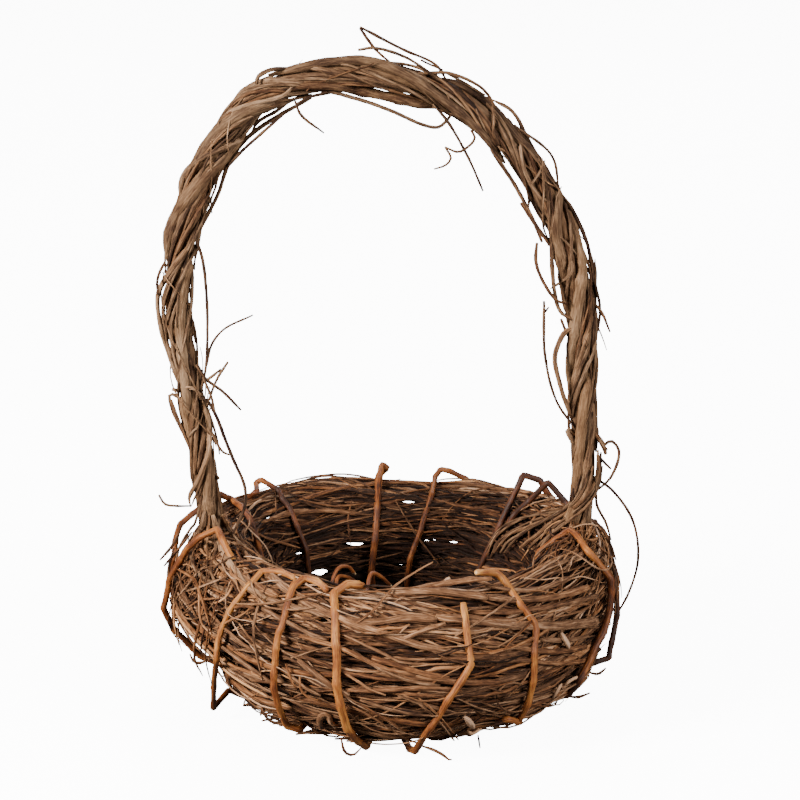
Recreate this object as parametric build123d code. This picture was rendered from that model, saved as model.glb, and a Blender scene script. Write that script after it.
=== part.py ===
from build123d import *
import math
import os

os.makedirs("parts", exist_ok=True)

# A round nest basket of vine twigs with a tall handle of twisted vines, tied with bent rattan rods.
# Lengths are in millimetres and +Z is up. Azimuths run from the front (-Y) towards the right (+X).
# Angles round the wall's section start at its outer side and rise over the rim (90 degrees).

# Wall: a ring-shaped bundle of twigs, held in by thicker vines laid round it
ring_radius = 86.5
wall_thickness = 44.0
wall_height = 72.8
wall_lean = 6.5
wall_vine_diameter = 4.4
vine_end_gap = 7.0
vine_sway = 5.0
vine_wander = 1.1

# Lashings: bent rods that clip round the wall, from under the floor to the inside
lashing_diameter = 3.7
lashing_kink = 2.6
lashing_overrun = 3.0
lashing_tail = 12.0
lashing_floor_gap = 3.0

# Floor: two layers of twigs that cross, between the lashings and the wall
floor_twig_diameter = 2.6
floor_twig_bend = 1.5

# Handle: three thick vines twisted together, with thinner vines in their grooves and round the outside
handle_height = 314.0
handle_bulge = 18.9
handle_vine_diameter = 5.2
groove_vine_diameter = 2.4
wrap_vine_diameter = 1.6
handle_twist_pitch = 172.0
wrap_twist_pitch = 115.0
foot_depth = 42.0
foot_outset = 4.0
leg_straight = 22.0

# Clearances
seat_gap = 0.3
twist_gap = 0.35
lashing_slack = 0.3
socket_end_gap = 0.9

# Facets: the steps round the ring, and the sides of each kind of rod
ring_steps = 32
section_corners = 16
socket_sides = 8
lashing_sides = 6
floor_twig_sides = 6
vine_sides = 5
handle_vine_sides = 7
twist_step = 12.0
wrap_step = 9.5

# Degrees: how far the legs lean out, and where round the handle's line the first thick vine starts
foot_tilt = 3.0
twist_start = -22.0

# The wall is a little out of round: (share of the size, waves round the ring, phase in degrees)
radius_wave_shares = ((0.010, 2, 30), (0.007, 3, 200), (0.004, 5, 80))
thickness_wave_shares = ((0.030, 2, 110), (0.022, 3, 10), (0.012, 7, 50))
height_wave_shares = ((0.016, 2, 250), (0.012, 3, 140), (0.008, 8, 20))
lean_wave_shares = ((0.30, 1, 180),)

# The vines round the wall, in order from the rim's outer side down, under the base and up the inside,
# with the azimuth where each one's ends meet and the phase of its wander
wall_vines = (
    ("rim_outer_vines", 0, 20),
    ("outer_shoulder_vine", 205, 140),
    ("outer_upper_vine", 152, 260),
    ("outer_middle_vine", 118, 10),
    ("outer_lower_vine", 232, 95),
    ("outer_heel_vine", 171, 300),
    ("base_outer_vine", 40, 215),
    ("base_inner_vine", 250, 55),
    ("inner_heel_vine", 12, 170),
    ("inner_lower_vine", 322, 330),
    ("inner_middle_vine", 48, 80),
    ("inner_upper_vine", 285, 240),
    ("inner_shoulder_vine", 350, 120),
    ("rim_inner_vines", 0, 190),
)

# The directions that a lashing's straight runs face, in order from the run under the floor
eased_facings = (-90, -40, 4, 50, 92, 140, 182)
square_facings = (-90, -11, 22, 60, 95, 140, 182)
short_facings = (-90, -24, 10, 56, 100)
outside_facings = (-90, -36, 0, 34)

# Lashings: name, facings, and the azimuths of the run under the floor, the top and the inside end
lashings = (
    ("lashing_left_foot", eased_facings, -98, -79, -70),
    ("lashing_front_left_outer", square_facings, -71, -51, -43),
    ("lashing_front_left_inner", eased_facings, -36, -38, -31),
    ("lashing_front_left_centre", eased_facings, -16, -24, -20),
    ("lashing_front_right_centre", outside_facings, -2, 12, 12),
    ("lashing_front_right", short_facings, 22, 27, 21),
    ("lashing_right_foot", eased_facings, 46, 70, 78),
    ("lashing_rear_right_outer", square_facings, 86, 106, 112),
    ("lashing_rear_right_inner", eased_facings, 117, 123, 130),
    ("lashing_rear_centre_right", square_facings, 150, 160, 169),
    ("lashing_rear_centre_left", eased_facings, 179, 180, 184),
    ("lashing_rear_left_inner", square_facings, 222, 219, 214),
    ("lashing_rear_left_outer", eased_facings, 250, 240, 252),
)

# The handle's line between its straight legs: shares of its reach sideways, and of its rise above the rim
arch_shares = (
    (-0.916, 0.310), (-0.976, 0.510), (-0.955, 0.640), (-0.828, 0.822), (-0.600, 0.955), (-0.285, 1.000),
    (0.040, 0.990), (0.325, 0.928), (0.542, 0.835), (0.700, 0.715), (0.810, 0.580), (0.862, 0.430),
    (0.860, 0.290),
)

# The thin vines wound round the handle: name, where they start and end as shares of the handle's length,
# and the angle round the handle where the winding begins
wrap_vines = (
    ("wrap_vine_left", 0.14, 0.62, 15),
    ("wrap_vine_crown", 0.30, 0.86, 100),
    ("wrap_vine_right", 0.42, 0.88, 190),
    ("wrap_vine_long", 0.16, 0.84, 275),
)

# Floor twigs: how far each lies from the middle, as a share of the floor's radius, and its bend as a share
lower_twig_shares = (
    (-0.90, 0.6), (-0.73, -0.4), (-0.55, 0.9), (-0.39, -0.8), (-0.20, 0.5), (-0.03, -0.6), (0.13, 0.8),
    (0.31, 0.3), (0.46, -0.9), (0.64, 0.5), (0.82, -0.5),
)
upper_twig_shares = (
    (-0.86, -0.5), (-0.68, 0.8), (-0.47, -0.7), (-0.31, 0.4), (-0.12, 0.9), (0.07, -0.5), (0.25, 0.7),
    (0.44, -0.8), (0.60, 0.6), (0.79, -0.3),
)

# Heights of what lies on what, from the ground up
lower_twig_height = lashing_diameter + seat_gap + floor_twig_diameter / 2
upper_twig_height = lower_twig_height + floor_twig_diameter + seat_gap
floor_top = upper_twig_height + floor_twig_diameter / 2
wall_base = floor_top + seat_gap
rim_height = wall_base + wall_height

# The handle bulges out past the ring, and the lashings tuck in under the foremost twig of the floor
handle_reach = ring_radius + handle_bulge
floor_radius = ring_radius * (1 - sum(share for share, _, _ in radius_wave_shares))
lashing_tuck = ring_radius - floor_radius * lower_twig_shares[-1][0] + lashing_overrun

# The packed core of the wall is what the layer of vines leaves of the wall's thickness and height
vine_layer = wall_vine_diameter + seat_gap
core_half_thickness = wall_thickness / 2 - vine_layer
core_half_height = wall_height / 2 - vine_layer

# The twist: vines lie at these distances from the handle's line, each clear of the last
handle_vine_offset = (handle_vine_diameter + twist_gap) / math.sqrt(3)
groove_reach = (handle_vine_diameter + groove_vine_diameter) / 2 + twist_gap
half_vine_offset = handle_vine_offset / 2
groove_side = math.sqrt(3) * half_vine_offset
groove_vine_offset = half_vine_offset + math.sqrt(groove_reach**2 - groove_side**2)
handle_vine_reach = handle_vine_offset + handle_vine_diameter / 2
twist_radius = max(handle_vine_reach, groove_vine_offset + groove_vine_diameter / 2)
wrap_vine_offset = twist_radius + 2 * twist_gap + wrap_vine_diameter / 2
handle_crown = handle_height - wrap_vine_offset - wrap_vine_diameter / 2
socket_radius = twist_radius + seat_gap

up = Vector(0, 0, 1)
front = Vector(0, -1, 0)


def write(name, solids):
    """One file for each named piece, holding one solid or a group of separate solids."""
    shape = solids[0] if len(solids) == 1 else Compound(children=solids)
    shape.label = name
    export_step(shape, f"parts/{name}.step")


def wave(azimuth, wave_shares):
    """Sum of gentle waves round the ring, as a share of a size."""
    return sum(share * math.sin(math.radians(count * azimuth + phase)) for share, count, phase in wave_shares)


def polar(azimuth, radius, height):
    """A point at an azimuth, a plan radius and a height."""
    angle = math.radians(azimuth)
    return Vector(radius * math.sin(angle), -radius * math.cos(angle), height)


def core_section(azimuth):
    """Plan radius, half thickness, half height and middle height of the wall's core at an azimuth."""
    radius = ring_radius * (1 + wave(azimuth, radius_wave_shares))
    across = core_half_thickness * (1 + wave(azimuth, thickness_wave_shares))
    rise = core_half_height * (1 + wave(azimuth, height_wave_shares))
    return radius, across, rise, wall_base + vine_layer + rise


def in_space(azimuth, outward, upward):
    """The point at these distances from the middle of the wall's section."""
    radius, _, _, middle = core_section(azimuth)
    return polar(azimuth, radius + outward, middle + upward)


def outline_point(across, rise, lean, turn, lift=0):
    """A place on the section's outline, or lifted off it; its foot is drawn in towards the bowl."""
    cosine = math.cos(math.radians(turn))
    sine = math.sin(math.radians(turn))
    below = min(sine, 0)
    outward_rate = -across * sine - 2 * lean * below * cosine
    upward_rate = rise * cosine
    speed = math.hypot(outward_rate, upward_rate)
    outward = across * cosine - lean * below**2 + lift * upward_rate / speed
    upward = rise * sine - lift * outward_rate / speed
    return outward, upward, speed


def core_place(azimuth, turn, lift=0):
    """The same on the core's section at an azimuth: distances outward and upward from its middle."""
    _, across, rise, _ = core_section(azimuth)
    lean = wall_lean * (1 + wave(azimuth, lean_wave_shares))
    return outline_point(across, rise, lean, turn, lift)[:2]


def core_point(azimuth, turn, lift=0):
    """The point in space on the core's surface at an angle round its section, or lifted off it."""
    return in_space(azimuth, *core_place(azimuth, turn, lift))


def section_outline():
    """The core's outline in small steps: the distance run from the rim down the outside, and the angle."""
    distances = [(0, 90)]
    for angle in range(90, -270, -1):
        speed = outline_point(core_half_thickness, core_half_height, wall_lean, angle - 0.5)[2]
        distances.append((distances[-1][0] + math.radians(1) * speed, angle - 1))
    return distances


outline = section_outline()
outline_length = outline[-1][0]


def turn_at(distance):
    """The angle round the section, a distance along its outline from the rim's top, outer side first."""
    distance %= outline_length
    for (start, first), (end, last) in zip(outline, outline[1:]):
        if distance <= end:
            return first + (last - first) * (distance - start) / (end - start)
    return last


def on_ring(azimuth, place):
    """A point between two stations of the faceted ring, where place gives the point at a station."""
    step = 360 / ring_steps
    before = math.floor(azimuth / step) * step
    along = (azimuth - before) / step
    return place(before) * (1 - along) + place(before + step) * along


def facing_polygon(centre, along, facing, radius, sides):
    """Corners of a regular polygon square to a direction, with one side towards facing."""
    sideways = along.cross(facing).normalized()
    outward = sideways.cross(along).normalized()
    corners = []
    for corner in range(sides):
        angle = 2 * math.pi * (corner + 0.5) / sides
        corners.append(centre + outward * (radius * math.cos(angle)) + sideways * (radius * math.sin(angle)))
    return corners


def mitred_rod(points, diameter, sides, facing):
    """A rod of straight runs with flat sides, which each corner mirrors in its mitre plane."""
    runs = [(end - start).normalized() for start, end in zip(points, points[1:])]
    mitres = [runs[0]] + [(before + after).normalized() for before, after in zip(runs, runs[1:])] + [runs[-1]]
    first_corners = facing_polygon(points[0], runs[0], facing, diameter / 2, sides)
    offsets = [corner - points[0] for corner in first_corners]
    sections = []
    for point, run, mitre in zip(points, [runs[0]] + runs, mitres):
        sections.append([point + offset - run * (offset.dot(mitre) / run.dot(mitre)) for offset in offsets])
        offsets = [offset - mitre * (2 * offset.dot(mitre)) for offset in offsets]
    faces = [Face(Wire.make_polygon(section)) for section in (sections[0], sections[-1])]
    for near, far in zip(sections, sections[1:]):
        for order in range(sides):
            corners = [near[order - 1], near[order], far[order], far[order - 1]]
            faces.append(Face(Wire.make_polygon(corners)))
    return Solid(Shell(faces))


def foot_line(side):
    """Where the handle meets the rim on one side, and the direction that its leg rises in."""
    place = core_section(side * 90)[0] + foot_outset
    lean = math.radians(foot_tilt)
    return Vector(side * place, 0, rim_height), Vector(side * math.sin(lean), 0, math.cos(lean))


def handle_route():
    """The handle's line from the left foot's end, over the crown, to the right foot's end."""
    (left_rim, left_up), (right_rim, right_up) = foot_line(-1), foot_line(1)
    left_leg = left_rim + left_up * leg_straight
    right_leg = right_rim + right_up * leg_straight
    crown_rise = handle_crown - rim_height
    bends = [Vector(x * handle_reach, 0, rim_height + z * crown_rise) for x, z in arch_shares]
    arch = Spline([left_leg] + bends + [right_leg], tangents=[left_up, right_up * -1])
    left_foot = Line(left_rim - left_up * foot_depth, left_leg)
    right_foot = Line(right_leg, right_rim - right_up * foot_depth)
    return Wire([left_foot, arch, right_foot])


handle = handle_route()


def twisted_vine(offset, angle, pitch, span, step_length, diameter, sides):
    """A vine wound round the handle's line, from outside to front as it runs, between two distances."""
    start, end = span
    count = round((end - start) / step_length)
    points = []
    for step in range(count + 1):
        distance = start + (end - start) * step / count
        centre = handle.position_at(distance, position_mode=PositionMode.LENGTH)
        along = handle.tangent_at(distance, position_mode=PositionMode.LENGTH)
        outward = front.cross(along)
        turn = math.radians(angle + 360 * distance / pitch)
        points.append(centre + outward * (offset * math.cos(turn)) + front * (offset * math.sin(turn)))
    return mitred_rod(points, diameter, sides, front)


def make_core():
    """The packed bundle of twigs: a closed ring with a socket on each side for a handle foot."""
    sections = []
    for station in range(ring_steps + 1):
        azimuth = station * 360 / ring_steps
        turns = [corner * 360 / section_corners for corner in range(section_corners)]
        sections.append(Wire.make_polygon([core_point(azimuth, turn) for turn in turns]))
    half = ring_steps // 2
    core = Solid.make_loft(sections[:half + 1], ruled=True).fuse(Solid.make_loft(sections[half:], ruled=True))
    for side in (-1, 1):
        rim, rise = foot_line(side)
        ends = (rim - rise * (foot_depth + socket_end_gap), rim + rise * leg_straight)
        corner_radius = socket_radius / math.cos(math.pi / socket_sides)
        core = core.cut(mitred_rod(ends, 2 * corner_radius, socket_sides, front))
    return core


def wall_vine_path(distance, start, end, phase):
    """A vine's line round the ring: it sways with its neighbours and wanders a little by itself."""
    def place(azimuth):
        sway = vine_sway * math.sin(math.radians(2 * azimuth - 180))
        wander = vine_wander * math.sin(math.radians(3 * azimuth + phase))
        turn = turn_at(distance + sway + wander)
        return core_point(azimuth, turn, seat_gap + wall_vine_diameter / 2)

    step = 360 / ring_steps
    inner = [station * step for station in range(math.floor(start / step) + 1, math.ceil(end / step))]
    return [on_ring(azimuth, place) for azimuth in [start] + inner + [end]]


def make_wall_vines():
    """The vines round the wall; the two on the rim stop at the handle's feet, so each is two pieces."""
    spacing = outline_length / len(wall_vines)
    for order, (name, join, phase) in enumerate(wall_vines):
        distance = (order + 0.5) * spacing
        if name.startswith("rim_"):
            clear = socket_radius + wall_vine_diameter + seat_gap
            margin = math.degrees(clear / (ring_radius - foot_outset))
            spans = [(-90 + margin, 90 - margin), (90 + margin, 270 - margin)]
        else:
            margin = math.degrees(vine_end_gap / 2 / ring_radius)
            spans = [(join + margin, join + 360 - margin)]
        paths = [wall_vine_path(distance, start, end, phase) for start, end in spans]
        write(name, [mitred_rod(path, wall_vine_diameter, vine_sides, up) for path in paths])


def reach(azimuth, facing):
    """How far a lashing's middle line lies from the section's centre where it faces this way."""
    if facing == -90:
        return core_section(azimuth)[3] - lashing_diameter / 2
    angle = math.radians(facing)
    places = [core_place(azimuth, turn) for turn in range(360)]
    surface = max(outward * math.cos(angle) + upward * math.sin(angle) for outward, upward in places)
    return surface + vine_layer + seat_gap + lashing_slack + lashing_diameter / 2


def meeting_point(azimuth, facing, other):
    """Where two neighbouring runs of a lashing meet in the section: distances outward and upward."""
    first, second = math.radians(facing), math.radians(other)
    a, b = reach(azimuth, facing), reach(azimuth, other)
    spread = math.sin(second - first)
    outward = (a * math.sin(second) - b * math.sin(first)) / spread
    upward = (b * math.cos(first) - a * math.cos(second)) / spread
    return outward, upward


def lashing_places(facings, bottom, top, inside):
    """A lashing's ends and corners in order: azimuth, and distances outward and upward in the section."""
    crest = facings.index(min(facings, key=lambda facing: abs(facing - 90)))
    places = []
    for order, (facing, other) in enumerate(zip(facings, facings[1:])):
        share = order / crest
        azimuth = bottom + (top - bottom) * min(share, 1) + (inside - top) * max(share - 1, 0)
        places.append((azimuth, *meeting_point(azimuth, facing, other)))
    azimuth, _, upward = places[0]
    places.insert(0, (azimuth, -lashing_tuck, upward))
    azimuth, outward, upward = places[-1]
    last = math.radians(facings[-1])
    tail = lashing_tail
    if last > math.pi:
        tail = core_section(azimuth)[3] + upward - floor_top - lashing_floor_gap
    places.append((inside, outward - tail * math.sin(last), upward + tail * math.cos(last)))
    return places


def make_lashing(facings, bottom, top, inside):
    """A bent rod of straight runs with short kinks between them; the run under the floor is level."""
    corners = [in_space(*place) for place in lashing_places(facings, bottom, top, inside)]
    points = [corners[0]]
    for before, corner, after in zip(corners, corners[1:], corners[2:]):
        for neighbour in (before, after):
            away = neighbour - corner
            points.append(corner + away.normalized() * min(lashing_kink, away.length / 3))
    points.append(corners[-1])
    flat_to_flat = lashing_diameter / math.cos(math.pi / lashing_sides)
    return mitred_rod(points, flat_to_flat, lashing_sides, up * -1)


def make_floor_twigs(twig_shares, height, across, along):
    """One layer of the floor: twigs side by side, each with one slight bend, trapped under the wall."""
    twigs = []
    for place_share, bend_share in twig_shares:
        place = floor_radius * place_share
        half = math.sqrt(floor_radius**2 - place**2)
        bend = floor_twig_bend * bend_share
        level = up * height
        points = (
            across * place - along * half + level,
            across * (place + bend) + along * (bend_share * half / 3) + level,
            across * place + along * half + level,
        )
        twigs.append(mitred_rod(points, floor_twig_diameter, floor_twig_sides, up))
    return twigs


def make_handle():
    """The twist: thick vines down into the sockets, groove vines with them, and wraps above the rim."""
    whole = (0, handle.length)
    for order, name in enumerate(("first", "second", "third")):
        angle = twist_start + order * 360 / 3
        thick = twisted_vine(handle_vine_offset, angle, handle_twist_pitch, whole, twist_step,
                             handle_vine_diameter, handle_vine_sides)
        write(f"handle_vine_{name}", [thick])
        groove = twisted_vine(groove_vine_offset, angle + 360 / 6, handle_twist_pitch, whole, twist_step,
                              groove_vine_diameter, vine_sides)
        write(f"groove_vine_{name}", [groove])
    for name, start_share, end_share, angle in wrap_vines:
        span = (start_share * handle.length, end_share * handle.length)
        wrap = twisted_vine(wrap_vine_offset, angle, wrap_twist_pitch, span, wrap_step,
                            wrap_vine_diameter, vine_sides)
        write(name, [wrap])


write("wall_core", [make_core()])
make_wall_vines()
for name, facings, bottom, top, inside in lashings:
    write(name, [make_lashing(facings, bottom, top, inside)])
write("floor_lower_twigs", make_floor_twigs(lower_twig_shares, lower_twig_height, front, Vector(1, 0, 0)))
write("floor_upper_twigs", make_floor_twigs(upper_twig_shares, upper_twig_height, Vector(1, 0, 0), front))
make_handle()
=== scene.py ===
import math

import bpy
import numpy as np
from mathutils import Matrix, Vector


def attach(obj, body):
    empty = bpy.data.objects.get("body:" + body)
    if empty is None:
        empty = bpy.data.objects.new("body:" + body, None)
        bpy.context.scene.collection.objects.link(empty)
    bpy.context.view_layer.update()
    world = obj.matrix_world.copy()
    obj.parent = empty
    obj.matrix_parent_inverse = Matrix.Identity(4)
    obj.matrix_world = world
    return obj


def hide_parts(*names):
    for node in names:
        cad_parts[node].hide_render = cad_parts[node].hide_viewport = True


# A nest basket of vine twigs with a twisted handle, as the camera of the photograph sees it.
# Lengths are in metres. Azimuths run from the front (-Y) towards the right (+X), in degrees, and angles
# round the wall's section start at its outer side and rise over the rim (90 degrees).

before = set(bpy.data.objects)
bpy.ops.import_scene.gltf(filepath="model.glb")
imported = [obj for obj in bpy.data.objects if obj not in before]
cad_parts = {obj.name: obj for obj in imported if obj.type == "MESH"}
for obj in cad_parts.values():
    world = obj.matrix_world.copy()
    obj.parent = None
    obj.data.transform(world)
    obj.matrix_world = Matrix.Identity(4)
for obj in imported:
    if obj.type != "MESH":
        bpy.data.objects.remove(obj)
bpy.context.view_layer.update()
RANDOM_SEED = 20
random = np.random.default_rng(RANDOM_SEED)
MM = 0.001
FULL_TURN = 2 * math.pi
ANY_PHASE = 6.3
UP = np.array([0, 0, 1.0])
FRONT = np.array([0, -1.0, 0])

# The photograph's camera: where it looks from, and what a pixel's line of sight is
IMAGE_SIZE = 800
FOCAL_PIXELS = 3133.6
CAMERA_DISTANCE = 1.5
TARGET_HEIGHT, TARGET_ASIDE = 0.1485, 0.00243
camera_azimuth = math.radians(-7)
camera_elevation = math.radians(16.074)
camera_back = np.array([
    math.sin(camera_azimuth) * math.cos(camera_elevation),
    -math.cos(camera_azimuth) * math.cos(camera_elevation),
    math.sin(camera_elevation),
])
camera_right = np.array([math.cos(camera_azimuth), math.sin(camera_azimuth), 0.0])
camera_up = np.cross(camera_back, camera_right)
camera_target = UP * TARGET_HEIGHT + camera_right * TARGET_ASIDE
camera_eye = camera_target + camera_back * CAMERA_DISTANCE

# Distances from the camera at which a line of sight is tried, and the level direction towards the camera
sight_reach = np.linspace(1.34, 1.66, 641)
LEVEL = np.array([1, 1, 0])

# Sizes of the frame's model
RING_RADIUS = 0.0865
WALL_BASE = 0.0098
VINE_LAYER = 0.0047
CORE_HALF_THICKNESS = 0.0173
CORE_HALF_HEIGHT = 0.0317
WALL_LEAN = 0.0065
RIM_HEIGHT = 0.0826
WALL_MIDDLE = UP * (WALL_BASE + VINE_LAYER + CORE_HALF_HEIGHT)
RADIUS_WAVES = ((0.010, 2, 30), (0.007, 3, 200), (0.004, 5, 80))
THICKNESS_WAVES = ((0.030, 2, 110), (0.022, 3, 10), (0.012, 7, 50))
HEIGHT_WAVES = ((0.016, 2, 250), (0.012, 3, 140), (0.008, 8, 20))
LEAN_WAVES = ((0.30, 1, 180),)


def unit(vectors):
    return vectors / np.maximum(np.linalg.norm(vectors, axis=-1, keepdims=True), 1e-12)


forward = unit(camera_back * LEVEL)


def run_along(path):
    """The distance from a path's start at each of its points."""
    return np.concatenate([[0], np.cumsum(np.linalg.norm(np.diff(path, axis=0), axis=1))])


def between(places, run, points):
    """Points at places along a line, from its points and the run at each of them."""
    return np.stack([np.interp(places, run, points[:, axis]) for axis in range(points.shape[1])], -1)


def around(azimuth, plan, height):
    """Points at azimuths, distances from the upright axis and heights."""
    a = np.radians(azimuth)
    return np.stack([plan * np.sin(a), -plan * np.cos(a), height], -1)


def sight(pixels):
    """Unit directions of the lines of sight through pixels."""
    pixels = np.asarray(pixels, float)
    across = (pixels[:, 0:1] - IMAGE_SIZE / 2) / FOCAL_PIXELS
    rise = (IMAGE_SIZE / 2 - pixels[:, 1:2]) / FOCAL_PIXELS
    return unit(-camera_back + camera_right * across + camera_up * rise)


def pixel_of(points):
    """Where points show in the photograph."""
    away = np.asarray(points) - camera_eye
    depth = -(away @ camera_back)
    x = IMAGE_SIZE / 2 + FOCAL_PIXELS * (away @ camera_right) / depth
    y = IMAGE_SIZE / 2 - FOCAL_PIXELS * (away @ camera_up) / depth
    return np.stack([x, y], -1)


def wave(azimuth, waves):
    return sum(share * np.sin(np.radians(count * azimuth + phase)) for share, count, phase in waves)


def hull_section(azimuth):
    """Plan radius, half thickness, half height, middle height and inward lean of the wall at azimuths."""
    radius = RING_RADIUS * (1 + wave(azimuth, RADIUS_WAVES))
    across = CORE_HALF_THICKNESS * (1 + wave(azimuth, THICKNESS_WAVES))
    rise = CORE_HALF_HEIGHT * (1 + wave(azimuth, HEIGHT_WAVES))
    lean = WALL_LEAN * (1 + wave(azimuth, LEAN_WAVES))
    return radius, across + VINE_LAYER, rise + VINE_LAYER, WALL_BASE + VINE_LAYER + rise, lean


def on_hull(azimuth, turn, lift):
    """Points on the wall's outside at azimuths and section angles, lifted off it, with outward normals."""
    azimuth, turn, lift = np.broadcast_arrays(*(np.asarray(v, float) for v in (azimuth, turn, lift)))
    radius, across, rise, middle, lean = hull_section(azimuth)
    cosine, sine = np.cos(np.radians(turn)), np.sin(np.radians(turn))
    below = np.minimum(sine, 0)
    outward, upward = rise * cosine, across * sine + 2 * lean * below * cosine
    length = np.hypot(outward, upward)
    outward, upward = outward / length, upward / length
    plan = radius + across * cosine - lean * below**2 + lift * outward
    height = middle + rise * sine + lift * upward
    return around(azimuth, plan, height), around(azimuth, outward, upward)


def hull_distance(points, lift):
    """Below 1 inside the wall grown by lift, above 1 outside it."""
    azimuth = np.degrees(np.arctan2(points[..., 0], -points[..., 1]))
    radius, across, rise, middle, lean = hull_section(azimuth)
    height = (points[..., 2] - middle) / (rise + lift)
    outward = np.hypot(points[..., 0], points[..., 1]) - radius + lean * np.clip(height, -1, 0)**2
    return np.hypot(outward / (across + lift), height)


def on_wall(pixels, lifts, behind=-1.0):
    """The first points of the wall, grown by lifts, on pixels' lines of sight, or the nearest to it.

    Only places further back than behind count."""
    pixels = np.asarray(pixels, float)
    lifts = np.broadcast_to(np.asarray(lifts, float), (len(pixels),))
    points = camera_eye + sight(pixels)[:, None, :] * sight_reach[None, :, None]
    distance = np.where(points[..., 1] > behind, hull_distance(points, lifts[:, None]), np.inf)
    inside = distance < 1
    first = np.where(inside.any(1), inside.argmax(1), distance.argmin(1))
    return points[np.arange(len(pixels)), first]


def on_plane(pixels, normal, offsets=0.0):
    """Points of pixels' lines of sight in the planes square to a direction, at offsets along it."""
    directions = sight(pixels)
    reach = (offsets - camera_eye @ normal) / (directions @ normal)
    return camera_eye + directions * reach[:, None]


def pixel_pairs(numbers):
    """A strand's pixels, written as one row of x and y in turn, as pairs."""
    return np.reshape(np.asarray(numbers, float), (-1, 2))


def curve(points, step, fineness=12):
    """A smooth curve through points, sampled about every step."""
    points = np.asarray(points, float)
    ends = np.vstack([2 * points[0] - points[1], points, 2 * points[-1] - points[-2]])
    knots = np.concatenate([[0], np.cumsum(np.sqrt(np.linalg.norm(np.diff(ends, axis=0), axis=1)) + 1e-9)])

    def mixed_at(t, first, last, start, end):
        """From start at the first knot to end at the last one."""
        span = knots[last] - knots[first]
        return (knots[last] - t) / span * start + (t - knots[first]) / span * end

    pieces = []
    for i in range(1, len(ends) - 2):
        t = np.linspace(knots[i], knots[i + 1], fineness, endpoint=False)[:, None]
        runs = [mixed_at(t, j, j + 1, ends[j], ends[j + 1]) for j in (i - 1, i, i + 1)]
        bends = [mixed_at(t, i - 1 + k, i + 1 + k, runs[k], runs[k + 1]) for k in (0, 1)]
        pieces.append(mixed_at(t, i, i + 1, *bends))
    fine = np.vstack(pieces + [points[-1:]])
    run = run_along(fine)
    count = max(int(round(run[-1] / step)), 3) + 1
    return between(np.linspace(0, run[-1], count), run, fine)


def kinks(length, spacing, size):
    """Random offsets along positions that run straight from kink to kink."""
    knots = np.arange(length[0] - spacing, length[-1] + 2 * spacing, spacing)
    knots = knots + random.uniform(-0.35, 0.35, len(knots)) * spacing
    return np.interp(length, knots, random.normal(0, size, len(knots)))


def wander(length, wavelength, size, waves=3):
    """A smooth random wander of an amplitude along positions, built from a few waves."""
    total = np.zeros(len(length))
    for _ in range(waves):
        span = wavelength * random.uniform(0.6, 1.7)
        total += np.sin(length * FULL_TURN / span + random.uniform(0, ANY_PHASE))
    return total * size / 1.7


def near_ends(share, width, power=2):
    """How near samples are to a strand's start, and to its end: 1 there, and 0 from a width on."""
    start = np.clip(1 - share / width, 0, 1)**power
    return start, np.clip((share - 1 + width) / width, 0, 1)**power


def taper(count, tip=0.35, length=3):
    """Shares of a strand's radius: its ends thin out over a few samples."""
    shares = np.ones(count)
    for i in range(min(length, count // 2)):
        share = tip + (1 - tip) * (i / length)
        shares[i] *= share
        shares[-1 - i] *= share
    return shares


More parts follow.
